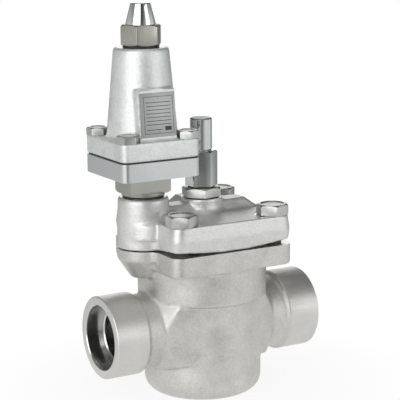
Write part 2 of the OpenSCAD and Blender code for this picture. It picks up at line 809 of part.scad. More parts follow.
module spindle_cap() {
    round_r = cap_round_d / 2;
    edge = 1;
    color(nickel) difference() {
        union() {
            translate([0, 0, spindle_cap_z]) hexagon(cap_af, cap_hex_h, spindle_cap_turn, bottom = true);
            translate([0, 0, cap_round_z - over]) rotate_extrude() polygon([
                [0, 0], [round_r, 0], [round_r, cap_round_h], [round_r - edge, cap_round_h + edge],
                [0, cap_round_h + edge]
            ]);
        }
        cylinder_from(spindle_cap_z - over, stub_top_z + 1.5, cap_stub_d + 2 * run_fit);
        cylinder_from(stub_top_z, spindle_top_z + 4, spindle_d + 2);
    }
}

module pilot_joint_ring() {
    color(black_seal) translate([pilot_x, 0, pilot_boss_z])
        ring(pilot_collar_d - 1.2, pilot_thread_d + 4 * run_fit, joint_ring_t);
}

module pilot_tip_oring() {
    color(black_seal) translate([pilot_x, 0, pilot_tip_z + 4]) seal_ring(pilot_tip_d - 1.9, 1.85);
}

module pilot_block() {
    color(pilot_grey) translate([pilot_x, 0, 0]) difference() {
        union() {
            translate([0, 0, block_z]) linear_extrude(block_h) rounded_square(block_w, block_corner);
            pilot_shank();
            cylinder_from(collar_z_low, collar_z_low + collar_t, pilot_collar_d);
            cylinder_from(pilot_thread_z, collar_z_low + over, pilot_thread_d);
            cylinder_from(pilot_tip_z, pilot_thread_z + over, pilot_tip_d);
        }
        translate([0, 0, pilot_tip_z + 4]) seal_ring_groove(pilot_tip_d, 1.9);
        cylinder_from(pilot_tip_z - over, block_top_z, 4.4);
        cylinder_from(orifice_z - bush_h, block_top_z, bush_d + 2 * run_fit);
        cylinder_from(block_top_z - diaphragm_room_h, block_top_z + over, diaphragm_room_d);
        translate([9.5, 0, pilot_thread_z - over]) cylinder(d = 3, h = block_top_z - pilot_thread_z);
        translate([0, 0, block_z + 2]) at_corners(bonnet_bolt_pitch)
            cylinder(d = bonnet_bolt_d + 2 * run_fit, h = far);
    }
}

// The spanner shank, turned off at its lower corners
module pilot_shank() {
    shank_z = collar_z_low + 1.2;
    corner_r = norm([shank_len, shank_flats]) / 2;
    shank_high = block_z + over - shank_z;
    intersection() {
        translate([0, 0, shank_z + shank_high / 2])
            cube([shank_len, shank_flats, shank_high], center = true);
        translate([0, 0, shank_z]) rotate_extrude() polygon([
            [0, 0], [pilot_collar_d / 2 - 0.4, 0], [corner_r, 3.2], [corner_r, shank_high],
            [0, shank_high]
        ]);
    }
}

module pilot_seat() {
    nozzle_h = 1.6;
    color(bright_steel) translate([pilot_x, 0, 0]) difference() {
        union() {
            cylinder_from(orifice_z - bush_h, orifice_z - nozzle_h, bush_d);
            translate([0, 0, orifice_z - nozzle_h - 0.01])
                cylinder(d1 = orifice_d + 4, d2 = orifice_d + 1, h = nozzle_h);
        }
        cylinder_from(orifice_z - bush_h - over, orifice_z + over, orifice_d);
    }
}

module pilot_needle() {
    needle_d = 6;
    color(bright_steel) translate([pilot_x, 0, 0]) {
        cylinder_from(orifice_z + face_gap, diaphragm_z - 1.4, needle_d);
        cylinder_from(diaphragm_z - 1.5, diaphragm_z - face_gap, 14);
        cylinder_from(diaphragm_z - 0.5, bonnet_z + 2.5, 4);
    }
}

module diaphragm_gasket() {
    color(black_seal) translate([pilot_x, 0, block_top_z])
        linear_extrude(diaphragm_gasket_t) difference() {
            rounded_square(block_w - 2.4, block_corner);
            circle(d = diaphragm_room_d);
            for (x = [-1, 1], y = [-1, 1])
                translate([x * bonnet_bolt_pitch / 2, y * bonnet_bolt_pitch / 2])
                    circle(d = bonnet_bolt_d + over);
        }
}

module diaphragm() {
    color(spring_steel) translate([pilot_x, 0, diaphragm_z])
        linear_extrude(diaphragm_t) difference() {
            rounded_square(block_w - 2, block_corner);
            circle(d = 4 + 2 * run_fit);
            for (x = [-1, 1], y = [-1, 1])
                translate([x * bonnet_bolt_pitch / 2, y * bonnet_bolt_pitch / 2])
                    circle(d = bonnet_bolt_d + over);
        }
}

module spring_plate() {
    color(bronze) translate([pilot_x, 0, 0]) difference() {
        union() {
            cylinder_from(bonnet_z + face_gap, setting_spring_z, spring_room_d - 3);
            cylinder_from(setting_spring_z - over, setting_spring_z + plate_spigot_h, setting_coil_d - setting_wire - 2);
        }
        cylinder_from(bonnet_z, bonnet_z + 2.7, 4 + 2 * run_fit);
    }
}

module setting_spring() {
    color(spring_steel) translate([pilot_x, 0, setting_spring_z + run_fit])
        spring(setting_coil_d, setting_wire, setting_spring_h - 2 * run_fit, setting_coils);
}

module spring_nut() {
    spigot_h = 3;
    color(bronze) translate([pilot_x, 0, 0]) difference() {
        union() {
            cylinder_from(spring_nut_z, spring_nut_z + spring_nut_h, spring_room_d - 2 * face_gap);
            cylinder_from(spring_nut_z - spigot_h, spring_nut_z + over, setting_coil_d - setting_wire - 2);
        }
        cylinder_from(spring_nut_z - spigot_h - over, far * 2, setting_thread_d + 2 * run_fit);
        translate([spring_room_d / 2, 0, spring_nut_z])
            cube([2 * rib_w + 2 * face_gap, rib_w + 2 * face_gap, 2 * spring_nut_h + over], center = true);
    }
}

module setting_spindle() {
    foot_z = spring_nut_z - setting_travel - 3 - over;
    color(bright_steel) translate([pilot_x, 0, 0]) difference() {
        union() {
            cylinder_from(foot_z, tower_top_z + neck_h + setting_key_h, setting_thread_d);
            cylinder_from(setting_collar_top_z - setting_collar_h, setting_collar_top_z, setting_collar_d);
        }
        translate([0, 0, tower_top_z - 6]) seal_ring_groove(setting_thread_d, 1.7);
        for (turn = [0, 90]) rotate([0, 0, turn]) for (side = [-1, 1])
            translate([side * (setting_key_af / 2 + far / 2), 0, tower_top_z + neck_h + 1 + far / 2])
                cube(far, center = true);
    }
}

module setting_spindle_oring() {
    color(black_seal) translate([pilot_x, 0, tower_top_z - 6]) seal_ring(setting_thread_d - 1.7, 1.65);
}

module thrust_washer() {
    color(white_seal) translate([pilot_x, 0, spring_room_top_z - thrust_washer_t])
        ring(setting_collar_d + over, setting_thread_d + 4 * run_fit, thrust_washer_t);
}

module pilot_bonnet() {
    edge = 1.2;
    color(silver) translate([pilot_x, 0, 0]) difference() {
        union() {
            translate([0, 0, bonnet_z]) linear_extrude(bonnet_flange_h)
                rounded_square(block_w, block_corner);
            translate([0, 0, tower_z - over]) rotate_extrude() polygon([
                [0, 0], [tower_foot_d / 2, 0], [tower_foot_d / 2, over],
                [tower_top_d / 2, tower_h + over - edge], [tower_top_d / 2 - edge, tower_h + over],
                [0, tower_h + over]
            ]);
            cylinder_from(tower_top_z - over, tower_top_z + neck_h, neck_thread_d);
            label_pad();
        }
        cylinder_from(bonnet_z - over, spring_room_z, diaphragm_room_d);
        spring_room();
        cylinder_from(spring_room_top_z - over, far * 2, setting_thread_d + 2 * run_fit);
        translate([0, 0, bonnet_z - over]) at_corners(bonnet_bolt_pitch)
            cylinder(d = bonnet_bolt_d + over, h = bonnet_flange_h + 2 * over);
    }
}

// The spring room with the rib that keeps the spring nut from turning
module spring_room() {
    difference() {
        cylinder_from(spring_room_z - over, spring_room_top_z, spring_room_d);
        translate([spring_room_d / 2, 0, spring_nut_z + far / 2 - setting_travel - over])
            cube([2 * rib_w, rib_w, far], center = true);
    }
}

// The flat pad on the front of the spring housing, which leans with its taper
module label_pad() {
    intersection() {
        translate([0, -tower_foot_d / 2, tower_z]) rotate([-pad_slope, 0, 0])
            translate([-pad_w / 2, -pad_stand, -over]) cube([pad_w, tower_foot_d / 2, pad_h + over]);
        translate([0, 0, tower_z - over]) cylinder(d = tower_foot_d + 10, h = pad_h + 2 * over);
    }
}

module bonnet_bolts() {
    color(bright_steel) translate([pilot_x, 0, tower_z]) at_corners(bonnet_bolt_pitch)
        hex_bolt(bonnet_bolt_d, tower_z - block_z - 3, bonnet_bolt_af,
            bonnet_bolt_head, bonnet_bolt_turn);
}

module nameplate() {
    color(bright_steel) translate([pilot_x, -tower_foot_d / 2, tower_z])
        rotate([-pad_slope, 0, 0])
            translate([-plate_w / 2, -pad_stand - plate_t, (pad_h - plate_h) / 2])
                cube([plate_w, plate_t, plate_h]);
}

module pilot_cap_seal() {
    color(black_seal) translate([pilot_x, 0, tower_top_z])
        ring(pilot_cap_af, neck_thread_d + 4 * run_fit, pilot_cap_seal_t);
}

module pilot_cap() {
    edge = 0.6;
    foot_r = pilot_cone_foot_d / 2;
    top_r = pilot_cone_top_d / 2;
    color(nickel) translate([pilot_x, 0, 0]) difference() {
        union() {
            translate([0, 0, pilot_cap_z]) hexagon(pilot_cap_af, pilot_cap_hex_h, pilot_cap_turn, bottom = true);
            translate([0, 0, pilot_cone_z - over]) rotate_extrude() polygon([
                [0, 0], [foot_r, 0], [foot_r, over], [top_r, pilot_cone_h + over - edge],
                [top_r - edge, pilot_cone_h + over], [0, pilot_cone_h + over]
            ]);
        }
        cylinder_from(pilot_cap_z - over, tower_top_z + neck_h + 1, neck_thread_d + 2 * run_fit);
        cylinder_from(tower_top_z + neck_h, tower_top_z + neck_h + setting_key_h + 2, setting_thread_d + 1);
    }
}

valve_body();
cover_gasket();
top_cover();
cover_bolts();
guide_sleeve();
seat_ring();
sleeve_foot_oring();
sleeve_top_oring();
servo_spring();
servo_piston();
piston_ring();
throttle_cone();
seal_disc();
cone_nut();
spindle_packing();
gland_gasket();
gland_nut();
manual_spindle();
spindle_stop_ring();
spindle_cap_seal();
spindle_cap();
pilot_joint_ring();
pilot_tip_oring();
pilot_block();
pilot_seat();
pilot_needle();
diaphragm_gasket();
diaphragm();
spring_plate();
setting_spring();
spring_nut();
setting_spindle();
setting_spindle_oring();
thrust_washer();
pilot_bonnet();
bonnet_bolts();
nameplate();
pilot_cap_seal();
pilot_cap();
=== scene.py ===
import math
import bpy
from mathutils import Matrix, Vector


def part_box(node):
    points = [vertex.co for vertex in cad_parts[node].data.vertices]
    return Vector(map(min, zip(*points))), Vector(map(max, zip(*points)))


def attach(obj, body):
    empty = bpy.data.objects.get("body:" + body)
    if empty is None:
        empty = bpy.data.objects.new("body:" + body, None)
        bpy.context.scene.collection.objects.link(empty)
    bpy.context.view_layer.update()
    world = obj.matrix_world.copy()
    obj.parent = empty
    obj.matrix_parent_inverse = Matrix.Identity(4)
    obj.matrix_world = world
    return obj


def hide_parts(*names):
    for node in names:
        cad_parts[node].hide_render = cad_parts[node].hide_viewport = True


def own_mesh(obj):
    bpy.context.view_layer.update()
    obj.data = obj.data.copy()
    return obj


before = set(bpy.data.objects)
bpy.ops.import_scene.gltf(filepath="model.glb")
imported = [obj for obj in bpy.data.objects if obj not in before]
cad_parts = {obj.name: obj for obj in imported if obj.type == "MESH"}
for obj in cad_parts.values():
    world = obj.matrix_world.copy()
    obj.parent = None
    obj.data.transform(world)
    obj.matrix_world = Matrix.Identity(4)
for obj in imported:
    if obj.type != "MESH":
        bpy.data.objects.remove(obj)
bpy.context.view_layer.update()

# The view. The camera stands where the photograph was taken from: a long lens, low and to the
# left of the valve, aimed so that the frame of 400 by 400 cuts the object as the photograph does.
frame_pixels = 400
focal_pixels = 1433.532
camera_place = (-0.47160, -0.82255, 0.32526)
view_azimuth = math.radians(-29.770)
view_pitch = math.radians(11.601)
view_roll = math.radians(0.401)
side = Vector((math.cos(view_azimuth), math.sin(view_azimuth), 0))
back = Vector((math.sin(view_azimuth) * math.cos(view_pitch),
               -math.cos(view_azimuth) * math.cos(view_pitch), math.sin(view_pitch)))
upward = back.cross(side)
rolled_side = math.cos(view_roll) * side - math.sin(view_roll) * upward
rolled_up = math.sin(view_roll) * side + math.cos(view_roll) * upward
lens = bpy.data.cameras.new("camera")
lens.sensor_width = 36
lens.lens = focal_pixels / frame_pixels * lens.sensor_width
lens.clip_start = 0.05
camera = bpy.data.objects.new("camera", lens)
bpy.context.scene.collection.objects.link(camera)
camera.matrix_world = Matrix((rolled_side, rolled_up, back)).transposed().to_4x4()
camera.location = camera_place
bpy.context.scene.camera = camera
bpy.context.scene.view_settings.view_transform = "Standard"

# The studio. A white backdrop between two dark screens, a dark ceiling and a large soft lamp on the
# left. Metal shows that room in the round and on the floor; the camera sees plain white.
room_strength = 0.75
valve_middle = Vector((0, 0, 0.11))

# The walls as the metal sees them: the place across the view from -1 to 1, and the brightness there.
near_wall = [(-1, 0.6), (-0.6, 0.62), (-0.3, 0.42), (0, 0.18), (0.3, 0.15), (0.5, 0.38), (0.7, 0.68),
             (1, 0.72)]
far_wall = [(-1, 0.6), (-0.75, 0.5), (-0.45, 0.16), (-0.2, 0.25), (-0.12, 1), (0.12, 1), (0.2, 0.25),
            (0.42, 0.14), (0.75, 0.35), (1, 0.8)]


def new_group_socket(group, name, kind, out=False, value=None):
    """Adds a named input or output to a node group."""
    made = group.interface.new_socket(name, in_out="OUTPUT" if out else "INPUT", socket_type=kind)
    if value is not None:
        made.default_value = value


def tree_math(tree, operation, *sources):
    """One step of arithmetic in a node tree, on numbers and on other nodes' outputs."""
    node = tree.nodes.new("ShaderNodeMath")
    node.operation = operation
    for socket, source in zip(node.inputs, sources):
        if isinstance(source, (int, float)):
            socket.default_value = source
        else:
            tree.links.new(source, socket)
    return node.outputs[0]


def tree_range(tree, source, low, high, to_low=0.0, to_high=1.0):
    """Maps a value from one range to another and keeps it inside."""
    node = tree.nodes.new("ShaderNodeMapRange")
    tree.links.new(source, node.inputs["Value"])
    for name, value in (("From Min", low), ("From Max", high), ("To Min", to_low), ("To Max", to_high)):
        node.inputs[name].default_value = value
    return node.outputs["Result"]


def tree_dot(tree, source, axis):
    """How far a vector reaches along an axis."""
    node = tree.nodes.new("ShaderNodeVectorMath")
    node.operation = "DOT_PRODUCT"
    node.inputs[1].default_value = axis
    tree.links.new(source, node.inputs[0])
    return node.outputs["Value"]


def wall_shade(tree, place, stops):
    """How bright one wall is at a place across the view."""
    ramp = tree.nodes.new("ShaderNodeValToRGB")
    shades = ramp.color_ramp.elements
    shades.remove(shades[1])
    for i, (spot, level) in enumerate(stops):
        shade = shades[0] if i == 0 else shades.new((spot + 1) / 2)
        shade.position = (spot + 1) / 2
        shade.color = (level, level, level, 1)
    tree.links.new(place, ramp.inputs[0])
    return ramp.outputs["Color"]


def room_walls_group():
    """Builds the group that tells how bright the walls of the studio are in a direction."""
    group = bpy.data.node_groups.new("room_walls", "ShaderNodeTree")
    new_group_socket(group, "Direction", "NodeSocketVector")
    new_group_socket(group, "Brightness", "NodeSocketFloat", out=True)
    given = group.nodes.new("NodeGroupInput")
    result = group.nodes.new("NodeGroupOutput")
    unit = group.nodes.new("ShaderNodeVectorMath")
    unit.operation = "NORMALIZE"
    group.links.new(given.outputs["Direction"], unit.inputs[0])
    across = tree_dot(group, unit.outputs[0], (math.cos(view_azimuth), math.sin(view_azimuth), 0))
    away = tree_dot(group, unit.outputs[0], (-math.sin(view_azimuth), math.cos(view_azimuth), 0))
    place = tree_math(group, "MULTIPLY_ADD", across, 0.5, 0.5)
    near = wall_shade(group, place, near_wall)
    far = wall_shade(group, place, far_wall)
    share = tree_range(group, away, -0.15, 0.15)
    far_part = tree_math(group, "MULTIPLY", far, share)
    near_part = tree_math(group, "MULTIPLY", near, tree_math(group, "SUBTRACT", 1, share))
    group.links.new(tree_math(group, "ADD", far_part, near_part), result.inputs["Brightness"])
    return group


room_walls = room_walls_group()
world = bpy.data.worlds.new("studio")
bpy.context.scene.world = world
world.use_nodes = True
room = world.node_tree
room.nodes.clear()
direction = room.nodes.new("ShaderNodeTexCoord").outputs["Generated"]
walls = room.nodes.new("ShaderNodeGroup")
walls.node_tree = room_walls
room.links.new(direction, walls.inputs["Direction"])
gaze_height = tree_dot(room, direction, (0, 0, 1))
ceiling = tree_math(room, "MULTIPLY", tree_range(room, gaze_height, 0.08, 0.32, 1, 0.5),
                    tree_range(room, gaze_height, 0.32, 0.9, 1, 0.5))
room_level = tree_math(room, "MULTIPLY", walls.outputs["Brightness"], ceiling)
rays = room.nodes.new("ShaderNodeLightPath")
clear_rays = tree_math(room, "MAXIMUM", rays.outputs["Is Camera Ray"], rays.outputs["Is Transmission Ray"])
seen_rays = tree_math(room, "MAXIMUM", clear_rays, rays.outputs["Is Glossy Ray"])
room_light = room.nodes.new("ShaderNodeBackground")
room_light.inputs["Strength"].default_value = room_strength
seen_room = room.nodes.new("ShaderNodeBackground")
room.links.new(room_level, room_light.inputs["Color"])
room.links.new(tree_math(room, "MAXIMUM", room_level, clear_rays), seen_room.inputs["Color"])
pick = room.nodes.new("ShaderNodeMixShader")
room_out = room.nodes.new("ShaderNodeOutputWorld")
room.links.new(seen_rays, pick.inputs[0])
room.links.new(room_light.outputs[0], pick.inputs[1])
room.links.new(seen_room.outputs[0], pick.inputs[2])
room.links.new(pick.outputs[0], room_out.inputs[0])


def soft_lamp(name, place, width, height, power):
    """Adds a rectangular lamp that faces the middle of the valve."""
    data = bpy.data.lights.new(name, "AREA")
    data.shape = "RECTANGLE"
    data.size = width
    data.size_y = height
    data.energy = power
    lamp = bpy.data.objects.new(name, data)
    bpy.context.scene.collection.objects.link(lamp)
    lamp.location = place
    aim = valve_middle - Vector(place)
    lamp.rotation_euler = aim.to_track_quat("-Z", "Y").to_euler()


soft_lamp("lamp_left", (-1.35, -0.8, 0.6), 1.7, 1.5, 16.5)
soft_lamp("lamp_top", (-0.1, -0.3, 1.35), 1.0, 1.0, 2)
soft_lamp("lamp_right", (0.75, -1.25, 0.5), 0.9, 0.9, 3.2)
soft_lamp("lamp_back", (0.6, 1.2, 0.5), 0.7, 0.9, 1.5)

# The floor. Plain white paper: the camera sees it white with the soft shadow close to the valve, and
# the metal sees it go over into the walls of the room further out.
floor_size = 8
floor_drop = 0.0002
paper_shade = 0.86
wall_starts = 0.14
wall_full = 0.36
shadow_starts_to_fade = 0.05
shadow_gone = 0.16
bpy.ops.object.select_all(action="DESELECT")
bpy.ops.mesh.primitive_plane_add(size=floor_size, location=(0, 0, -floor_drop))
floor = bpy.context.object
floor.name = "floor"
paper = bpy.data.materials.new("floor_paper")
paper.use_nodes = True
paper_nodes = paper.node_tree
paper_nodes.nodes.clear()
paper_out = paper_nodes.nodes.new("ShaderNodeOutputMaterial")
paper_matte = paper_nodes.nodes.new("ShaderNodeBsdfDiffuse")
paper_white = paper_nodes.nodes.new("ShaderNodeEmission")
paper_white.inputs["Color"].default_value = (1, 1, 1, 1)
paper_rays = paper_nodes.nodes.new("ShaderNodeLightPath")
paper_spot = paper_nodes.nodes.new("ShaderNodeTexCoord").outputs["Object"]
paper_reach = paper_nodes.nodes.new("ShaderNodeVectorMath")
paper_reach.operation = "LENGTH"
paper_nodes.links.new(paper_spot, paper_reach.inputs[0])
reach = paper_reach.outputs["Value"]
paper_walls = paper_nodes.nodes.new("ShaderNodeGroup")
paper_walls.node_tree = room_walls
paper_nodes.links.new(paper_spot, paper_walls.inputs["Direction"])
beyond = tree_range(paper_nodes, reach, wall_starts, wall_full)
near_level = tree_math(paper_nodes, "MULTIPLY", tree_math(paper_nodes, "SUBTRACT", 1, beyond), paper_shade)
far_level = tree_math(paper_nodes, "MULTIPLY", beyond, paper_walls.outputs["Brightness"])
paper_level = tree_math(paper_nodes, "ADD", near_level, far_level)
paper_nodes.links.new(paper_level, paper_matte.inputs["Color"])
paper_shown = tree_math(paper_nodes, "MULTIPLY", paper_rays.outputs["Is Glossy Ray"], paper_level)
paper_seen = tree_math(paper_nodes, "MAXIMUM", paper_rays.outputs["Is Camera Ray"], paper_shown)
paper_fade = tree_range(paper_nodes, reach, shadow_starts_to_fade, shadow_gone, 0.9, 1.0)
paper_mix = paper_nodes.nodes.new("ShaderNodeMixShader")
paper_nodes.links.new(tree_math(paper_nodes, "MULTIPLY", paper_seen, paper_fade), paper_mix.inputs[0])
paper_nodes.links.new(paper_matte.outputs[0], paper_mix.inputs[1])
paper_nodes.links.new(paper_white.outputs[0], paper_mix.inputs[2])
paper_nodes.links.new(paper_mix.outputs[0], paper_out.inputs[0])
floor.data.materials.append(paper)

# The valve body. One steel casting, blasted to an even warm grey: a round barrel with a collar,
# a square flange with the lobe of the pilot, and two ports whose faces and sockets are machined.
MM = 0.001
same_point = 0.002 * MM
shortest_edge = 0.001 * MM


def plan_span(node, axis=2):
    """Where a node of the plan starts and ends along an axis, upwards unless told, in millimetres."""
    return [round(corner[axis] / MM, 2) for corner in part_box(node)]


def alone(obj):
    """Leaves one object selected and active."""
    bpy.ops.object.select_all(action="DESELECT")
    obj.select_set(True)
    bpy.context.view_layer.objects.active = obj


def chained(name, points, closed):
    """Draws a line of points, given in metres, as the start of a turned or an extruded piece."""
    bpy.ops.object.select_all(action="DESELECT")
    bpy.ops.mesh.primitive_plane_add(size=MM, location=(0, 0, 0))
    obj = bpy.context.object
    obj.name = name
    bpy.ops.object.mode_set(mode="EDIT")
    bpy.ops.mesh.select_all(action="SELECT")
    bpy.ops.mesh.merge(type="CENTER")
    bpy.ops.transform.translate(value=points[0])
    for start, end in zip(points, points[1:]):
        bpy.ops.mesh.extrude_vertices_move(TRANSFORM_OT_translate={"value": end - start})
    bpy.ops.mesh.select_all(action="SELECT")
    if closed:
        bpy.ops.mesh.edge_face_add()
    return obj


def softened(outline):
    """Turns the corners of an outline that carry a third value into arcs of that radius."""
    result = []
    count = len(outline)
    for i, corner in enumerate(outline):
        if len(corner) < 3:
            result.append(Vector(corner))
            continue
        here = Vector(corner[:2])
        to_last = (Vector(outline[i - 1][:2]) - here).normalized()
        to_next = (Vector(outline[(i + 1) % count][:2]) - here).normalized()
        half = to_last.angle(to_next) / 2
        middle = here + (to_last + to_next).normalized() * corner[2] / math.sin(half)
        first = here + to_last * corner[2] / math.tan(half) - middle
        last = here + to_next * corner[2] / math.tan(half) - middle
        steps = 6
        for k in range(steps + 1):
            result.append(middle + first.normalized().slerp(last.normalized(), k / steps) * corner[2])
    return result


def turned(name, outline, centre=(0, 0), along="Z", steps=96):
    """Spins an outline of (radius, height) pairs in millimetres round an axis."""
    def place(point):
        if along == "Z":
            return Vector((centre[0] + point[0], centre[1], point[1])) * MM
        return Vector((point[1], centre[0], centre[1] + point[0])) * MM
    obj = chained(name, [place(p) for p in softened(outline)], False)
    middle = place((0, 0))
    axis = (0, 0, 1) if along == "Z" else (1, 0, 0)
    bpy.ops.mesh.spin(steps=steps, angle=2 * math.pi, center=middle, axis=axis)
    bpy.ops.mesh.select_all(action="SELECT")
    bpy.ops.mesh.remove_doubles(threshold=same_point)
    bpy.ops.mesh.normals_make_consistent(inside=False)
    bpy.ops.object.mode_set(mode="OBJECT")
    return obj


def round_bar(name, radius, low, high, centre=(0, 0), steps=96):
    """A plain upright bar in millimetres, to join on or to cut with."""
    return turned(name, [(0, low), (radius, low), (radius, high), (0, high)], centre, steps=steps)


def slab(name, outline, low, high, taper=(1, 1)):
    """Extrudes a flat outline of (x, y) pairs in millimetres between two heights, with a taper."""
    obj = chained(name, [Vector((p[0], p[1], low)) * MM for p in softened(outline)], True)
    bpy.ops.mesh.extrude_region_move(TRANSFORM_OT_translate={"value": (0, 0, (high - low) * MM)})
    if taper != (1, 1):
        bpy.ops.transform.resize(value=(*taper, 1), center_override=(0, 0, high * MM))
    bpy.ops.mesh.select_all(action="SELECT")
    bpy.ops.mesh.normals_make_consistent(inside=False)
    bpy.ops.object.mode_set(mode="OBJECT")
    return obj


def square_outline(width, corner, x=0):
    """A square outline with round corners about a point on the flow axis."""
    half = width / 2
    return [(x - half, -half, corner), (x + half, -half, corner),
            (x + half, half, corner), (x - half, half, corner)]


def combine(obj, tools, operation, cut_finish=None):
    """Joins, cuts or crosses a piece with tool shapes, which are used up."""
    for tool in tools:
        if cut_finish:
            tool.data.materials.append(cut_finish)
        alone(obj)
        change = obj.modifiers.new("combine", "BOOLEAN")
        change.material_mode = "TRANSFER" if cut_finish else "INDEX"
        change.operation = operation
        change.solver = "EXACT"
        change.object = tool
        bpy.ops.object.modifier_apply(modifier=change.name)
        bpy.data.objects.remove(tool)
    return obj


def cast(obj, grain, rounds):
    """Gives a piece the soft edges and fillets of a casting."""
    alone(obj)
    skin = obj.modifiers.new("skin", "REMESH")
    skin.mode = "VOXEL"
    skin.voxel_size = grain * MM
    bpy.ops.object.modifier_apply(modifier=skin.name)
    flow = obj.modifiers.new("flow", "SMOOTH")
    flow.factor = 0.5
    flow.iterations = rounds
    bpy.ops.object.modifier_apply(modifier=flow.name)


def finish_piece(obj, finish, body, slot, *nodes, angle=32):
    """Closes and shades a piece, gives it its material if it has none yet and fixes it to its body."""
    alone(obj)
    bpy.ops.object.mode_set(mode="EDIT")
    bpy.ops.mesh.select_all(action="SELECT")
    bpy.ops.mesh.remove_doubles(threshold=shortest_edge)
    bpy.ops.mesh.dissolve_degenerate(threshold=shortest_edge)
    bpy.ops.mesh.select_all(action="SELECT")
    bpy.ops.mesh.fill_holes(sides=8)
    bpy.ops.object.mode_set(mode="OBJECT")
    bpy.ops.object.shade_smooth_by_angle(angle=math.radians(angle))
    if finish:
        obj.data.materials.clear()
        obj.data.materials.append(finish)
    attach(obj, body)
    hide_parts(*nodes)


def metal_skin_group():
    """Builds the shared group: mottled colour, uneven roughness and the relief of grain and lines."""
    group = bpy.data.node_groups.new("metal_skin", "ShaderNodeTree")
    new_group_socket(group, "Colour", "NodeSocketColor", value=(0.6, 0.6, 0.6, 1))
    new_group_socket(group, "Roughness", "NodeSocketFloat", value=0.4)
    new_group_socket(group, "Mottle", "NodeSocketFloat", value=0.1)
    new_group_socket(group, "Grain size", "NodeSocketFloat", value=0.8)
    new_group_socket(group, "Grain height", "NodeSocketFloat", value=0.05)
    new_group_socket(group, "Lines", "NodeSocketFloat", value=0.0)
    new_group_socket(group, "Line stretch", "NodeSocketVector", value=(0.04, 0.04, 1.6))
    new_group_socket(group, "Colour", "NodeSocketColor", out=True)
    new_group_socket(group, "Roughness", "NodeSocketFloat", out=True)
    new_group_socket(group, "Normal", "NodeSocketVector", out=True)
    clouds_per_metre = 70
    lines_per_metre = 900
    add = group.nodes.new
    link = group.links.new
    given = add("NodeGroupInput")
    result = add("NodeGroupOutput")
    spot = add("ShaderNodeTexCoord")

    def calc(operation, a, b):
        return tree_math(group, operation, a, b)

    def noise(scale, detail):
        node = add("ShaderNodeTexNoise")
        node.inputs["Detail"].default_value = detail
        link(spot.outputs["Object"], node.inputs["Vector"])
        if isinstance(scale, (int, float)):
            node.inputs["Scale"].default_value = scale
        else:
            link(scale, node.inputs["Scale"])
        return node.outputs["Fac"]

    clouds = noise(clouds_per_metre, 4)
    fine = noise(calc("DIVIDE", 1 / MM, given.outputs["Grain size"]), 3)
    cloud_part = calc("MULTIPLY", calc("SUBTRACT", clouds, 0.5), given.outputs["Mottle"])
    fine_part = calc("MULTIPLY", calc("SUBTRACT", fine, 0.5), given.outputs["Mottle"])
    level = calc("ADD", calc("ADD", calc("MULTIPLY", cloud_part, 1.4), fine_part), 1.0)
    tint = add("ShaderNodeVectorMath")
    tint.operation = "SCALE"
    link(given.outputs["Colour"], tint.inputs[0])
    link(level, tint.inputs["Scale"])
    link(tint.outputs[0], result.inputs["Colour"])
    rough_part = calc("MULTIPLY", calc("SUBTRACT", clouds, 0.5), given.outputs["Mottle"])
    link(calc("ADD", given.outputs["Roughness"], rough_part), result.inputs["Roughness"])
    lines = add("ShaderNodeTexNoise")
    lines.inputs["Scale"].default_value = lines_per_metre
    lines.inputs["Detail"].default_value = 2
    stretch = add("ShaderNodeMapping")
    link(given.outputs["Line stretch"], stretch.inputs["Scale"])
    link(spot.outputs["Object"], stretch.inputs["Vector"])
    link(stretch.outputs[0], lines.inputs["Vector"])
    line_part = calc("MULTIPLY", lines.outputs["Fac"], given.outputs["Lines"])
    relief = calc("ADD", calc("MULTIPLY", fine, given.outputs["Grain height"]), line_part)
    bump = add("ShaderNodeBump")
    bump.inputs["Strength"].default_value = 1.0
    bump.inputs["Distance"].default_value = MM
    link(relief, bump.inputs["Height"])
    link(bump.outputs["Normal"], result.inputs["Normal"])
    return group


metal_skin = metal_skin_group()


def metal(name, colour, roughness, metallic, mottle, grain, height, lines=0.0, along="Z"):
    """A metal or coated surface that takes its relief and unevenness from the shared group."""
    material = bpy.data.materials.new(name)
    material.use_nodes = True
    tree = material.node_tree
    shader = tree.nodes["Principled BSDF"]
    skin = tree.nodes.new("ShaderNodeGroup")
    skin.node_tree = metal_skin
    skin.inputs["Colour"].default_value = (*colour, 1)
    skin.inputs["Roughness"].default_value = roughness
    skin.inputs["Mottle"].default_value = mottle
    skin.inputs["Grain size"].default_value = grain
    skin.inputs["Grain height"].default_value = height
    skin.inputs["Lines"].default_value = lines
    if along == "X":
        skin.inputs["Line stretch"].default_value = (1.6, 0.04, 0.04)
    shader.inputs["Metallic"].default_value = metallic
    tree.links.new(skin.outputs["Colour"], shader.inputs["Base Color"])
    tree.links.new(skin.outputs["Roughness"], shader.inputs["Roughness"])
    tree.links.new(skin.outputs["Normal"], shader.inputs["Normal"])
    return material


cast_steel = metal("cast_steel", (0.67, 0.665, 0.635), 0.48, 0.75, 0.40, 1.5, 0.15)
machined = metal("machined", (0.72, 0.72, 0.70), 0.32, 0.95, 0.08, 2.0, 0.004, 0.01)
turned_port = metal("turned_port", (0.70, 0.695, 0.67), 0.44, 0.85, 0.16, 1.6, 0.03, 0.08, "X")
# The bored sockets are glossier than the cast, and their darker colour is painted shade inside the bore.
bored_socket_painted_shade = metal("bored_socket_painted_shade", (0.60, 0.60, 0.59), 0.22, 1.0, 0.20, 1.6, 0.01, 0.03, "X")
barrel_r = 40
collar_r = 43.8
flange_half = plan_span("valve_body", 1)[1]
flange_corner = 7.4
joint_face = plan_span("valve_body")[1]
rough_top = 105.5
lobe_x = -44.2
lobe_r = 17.8
pilot_axis = (lobe_x, 0)
lobe_low = 97
port_z = 46
port_r = 27.8
turned_port_r = 27.6
neck_r = 25.4
neck_reach = 42
passage_r = 16.7
socket_r = 21.4
socket_floor = 67
port_face = plan_span("valve_body", 0)[1]
duct_r = 12.5
duct_length = 34
duct_x = 32.5
duct_rise = 10
duct_way = Vector((-25, 0, 20))
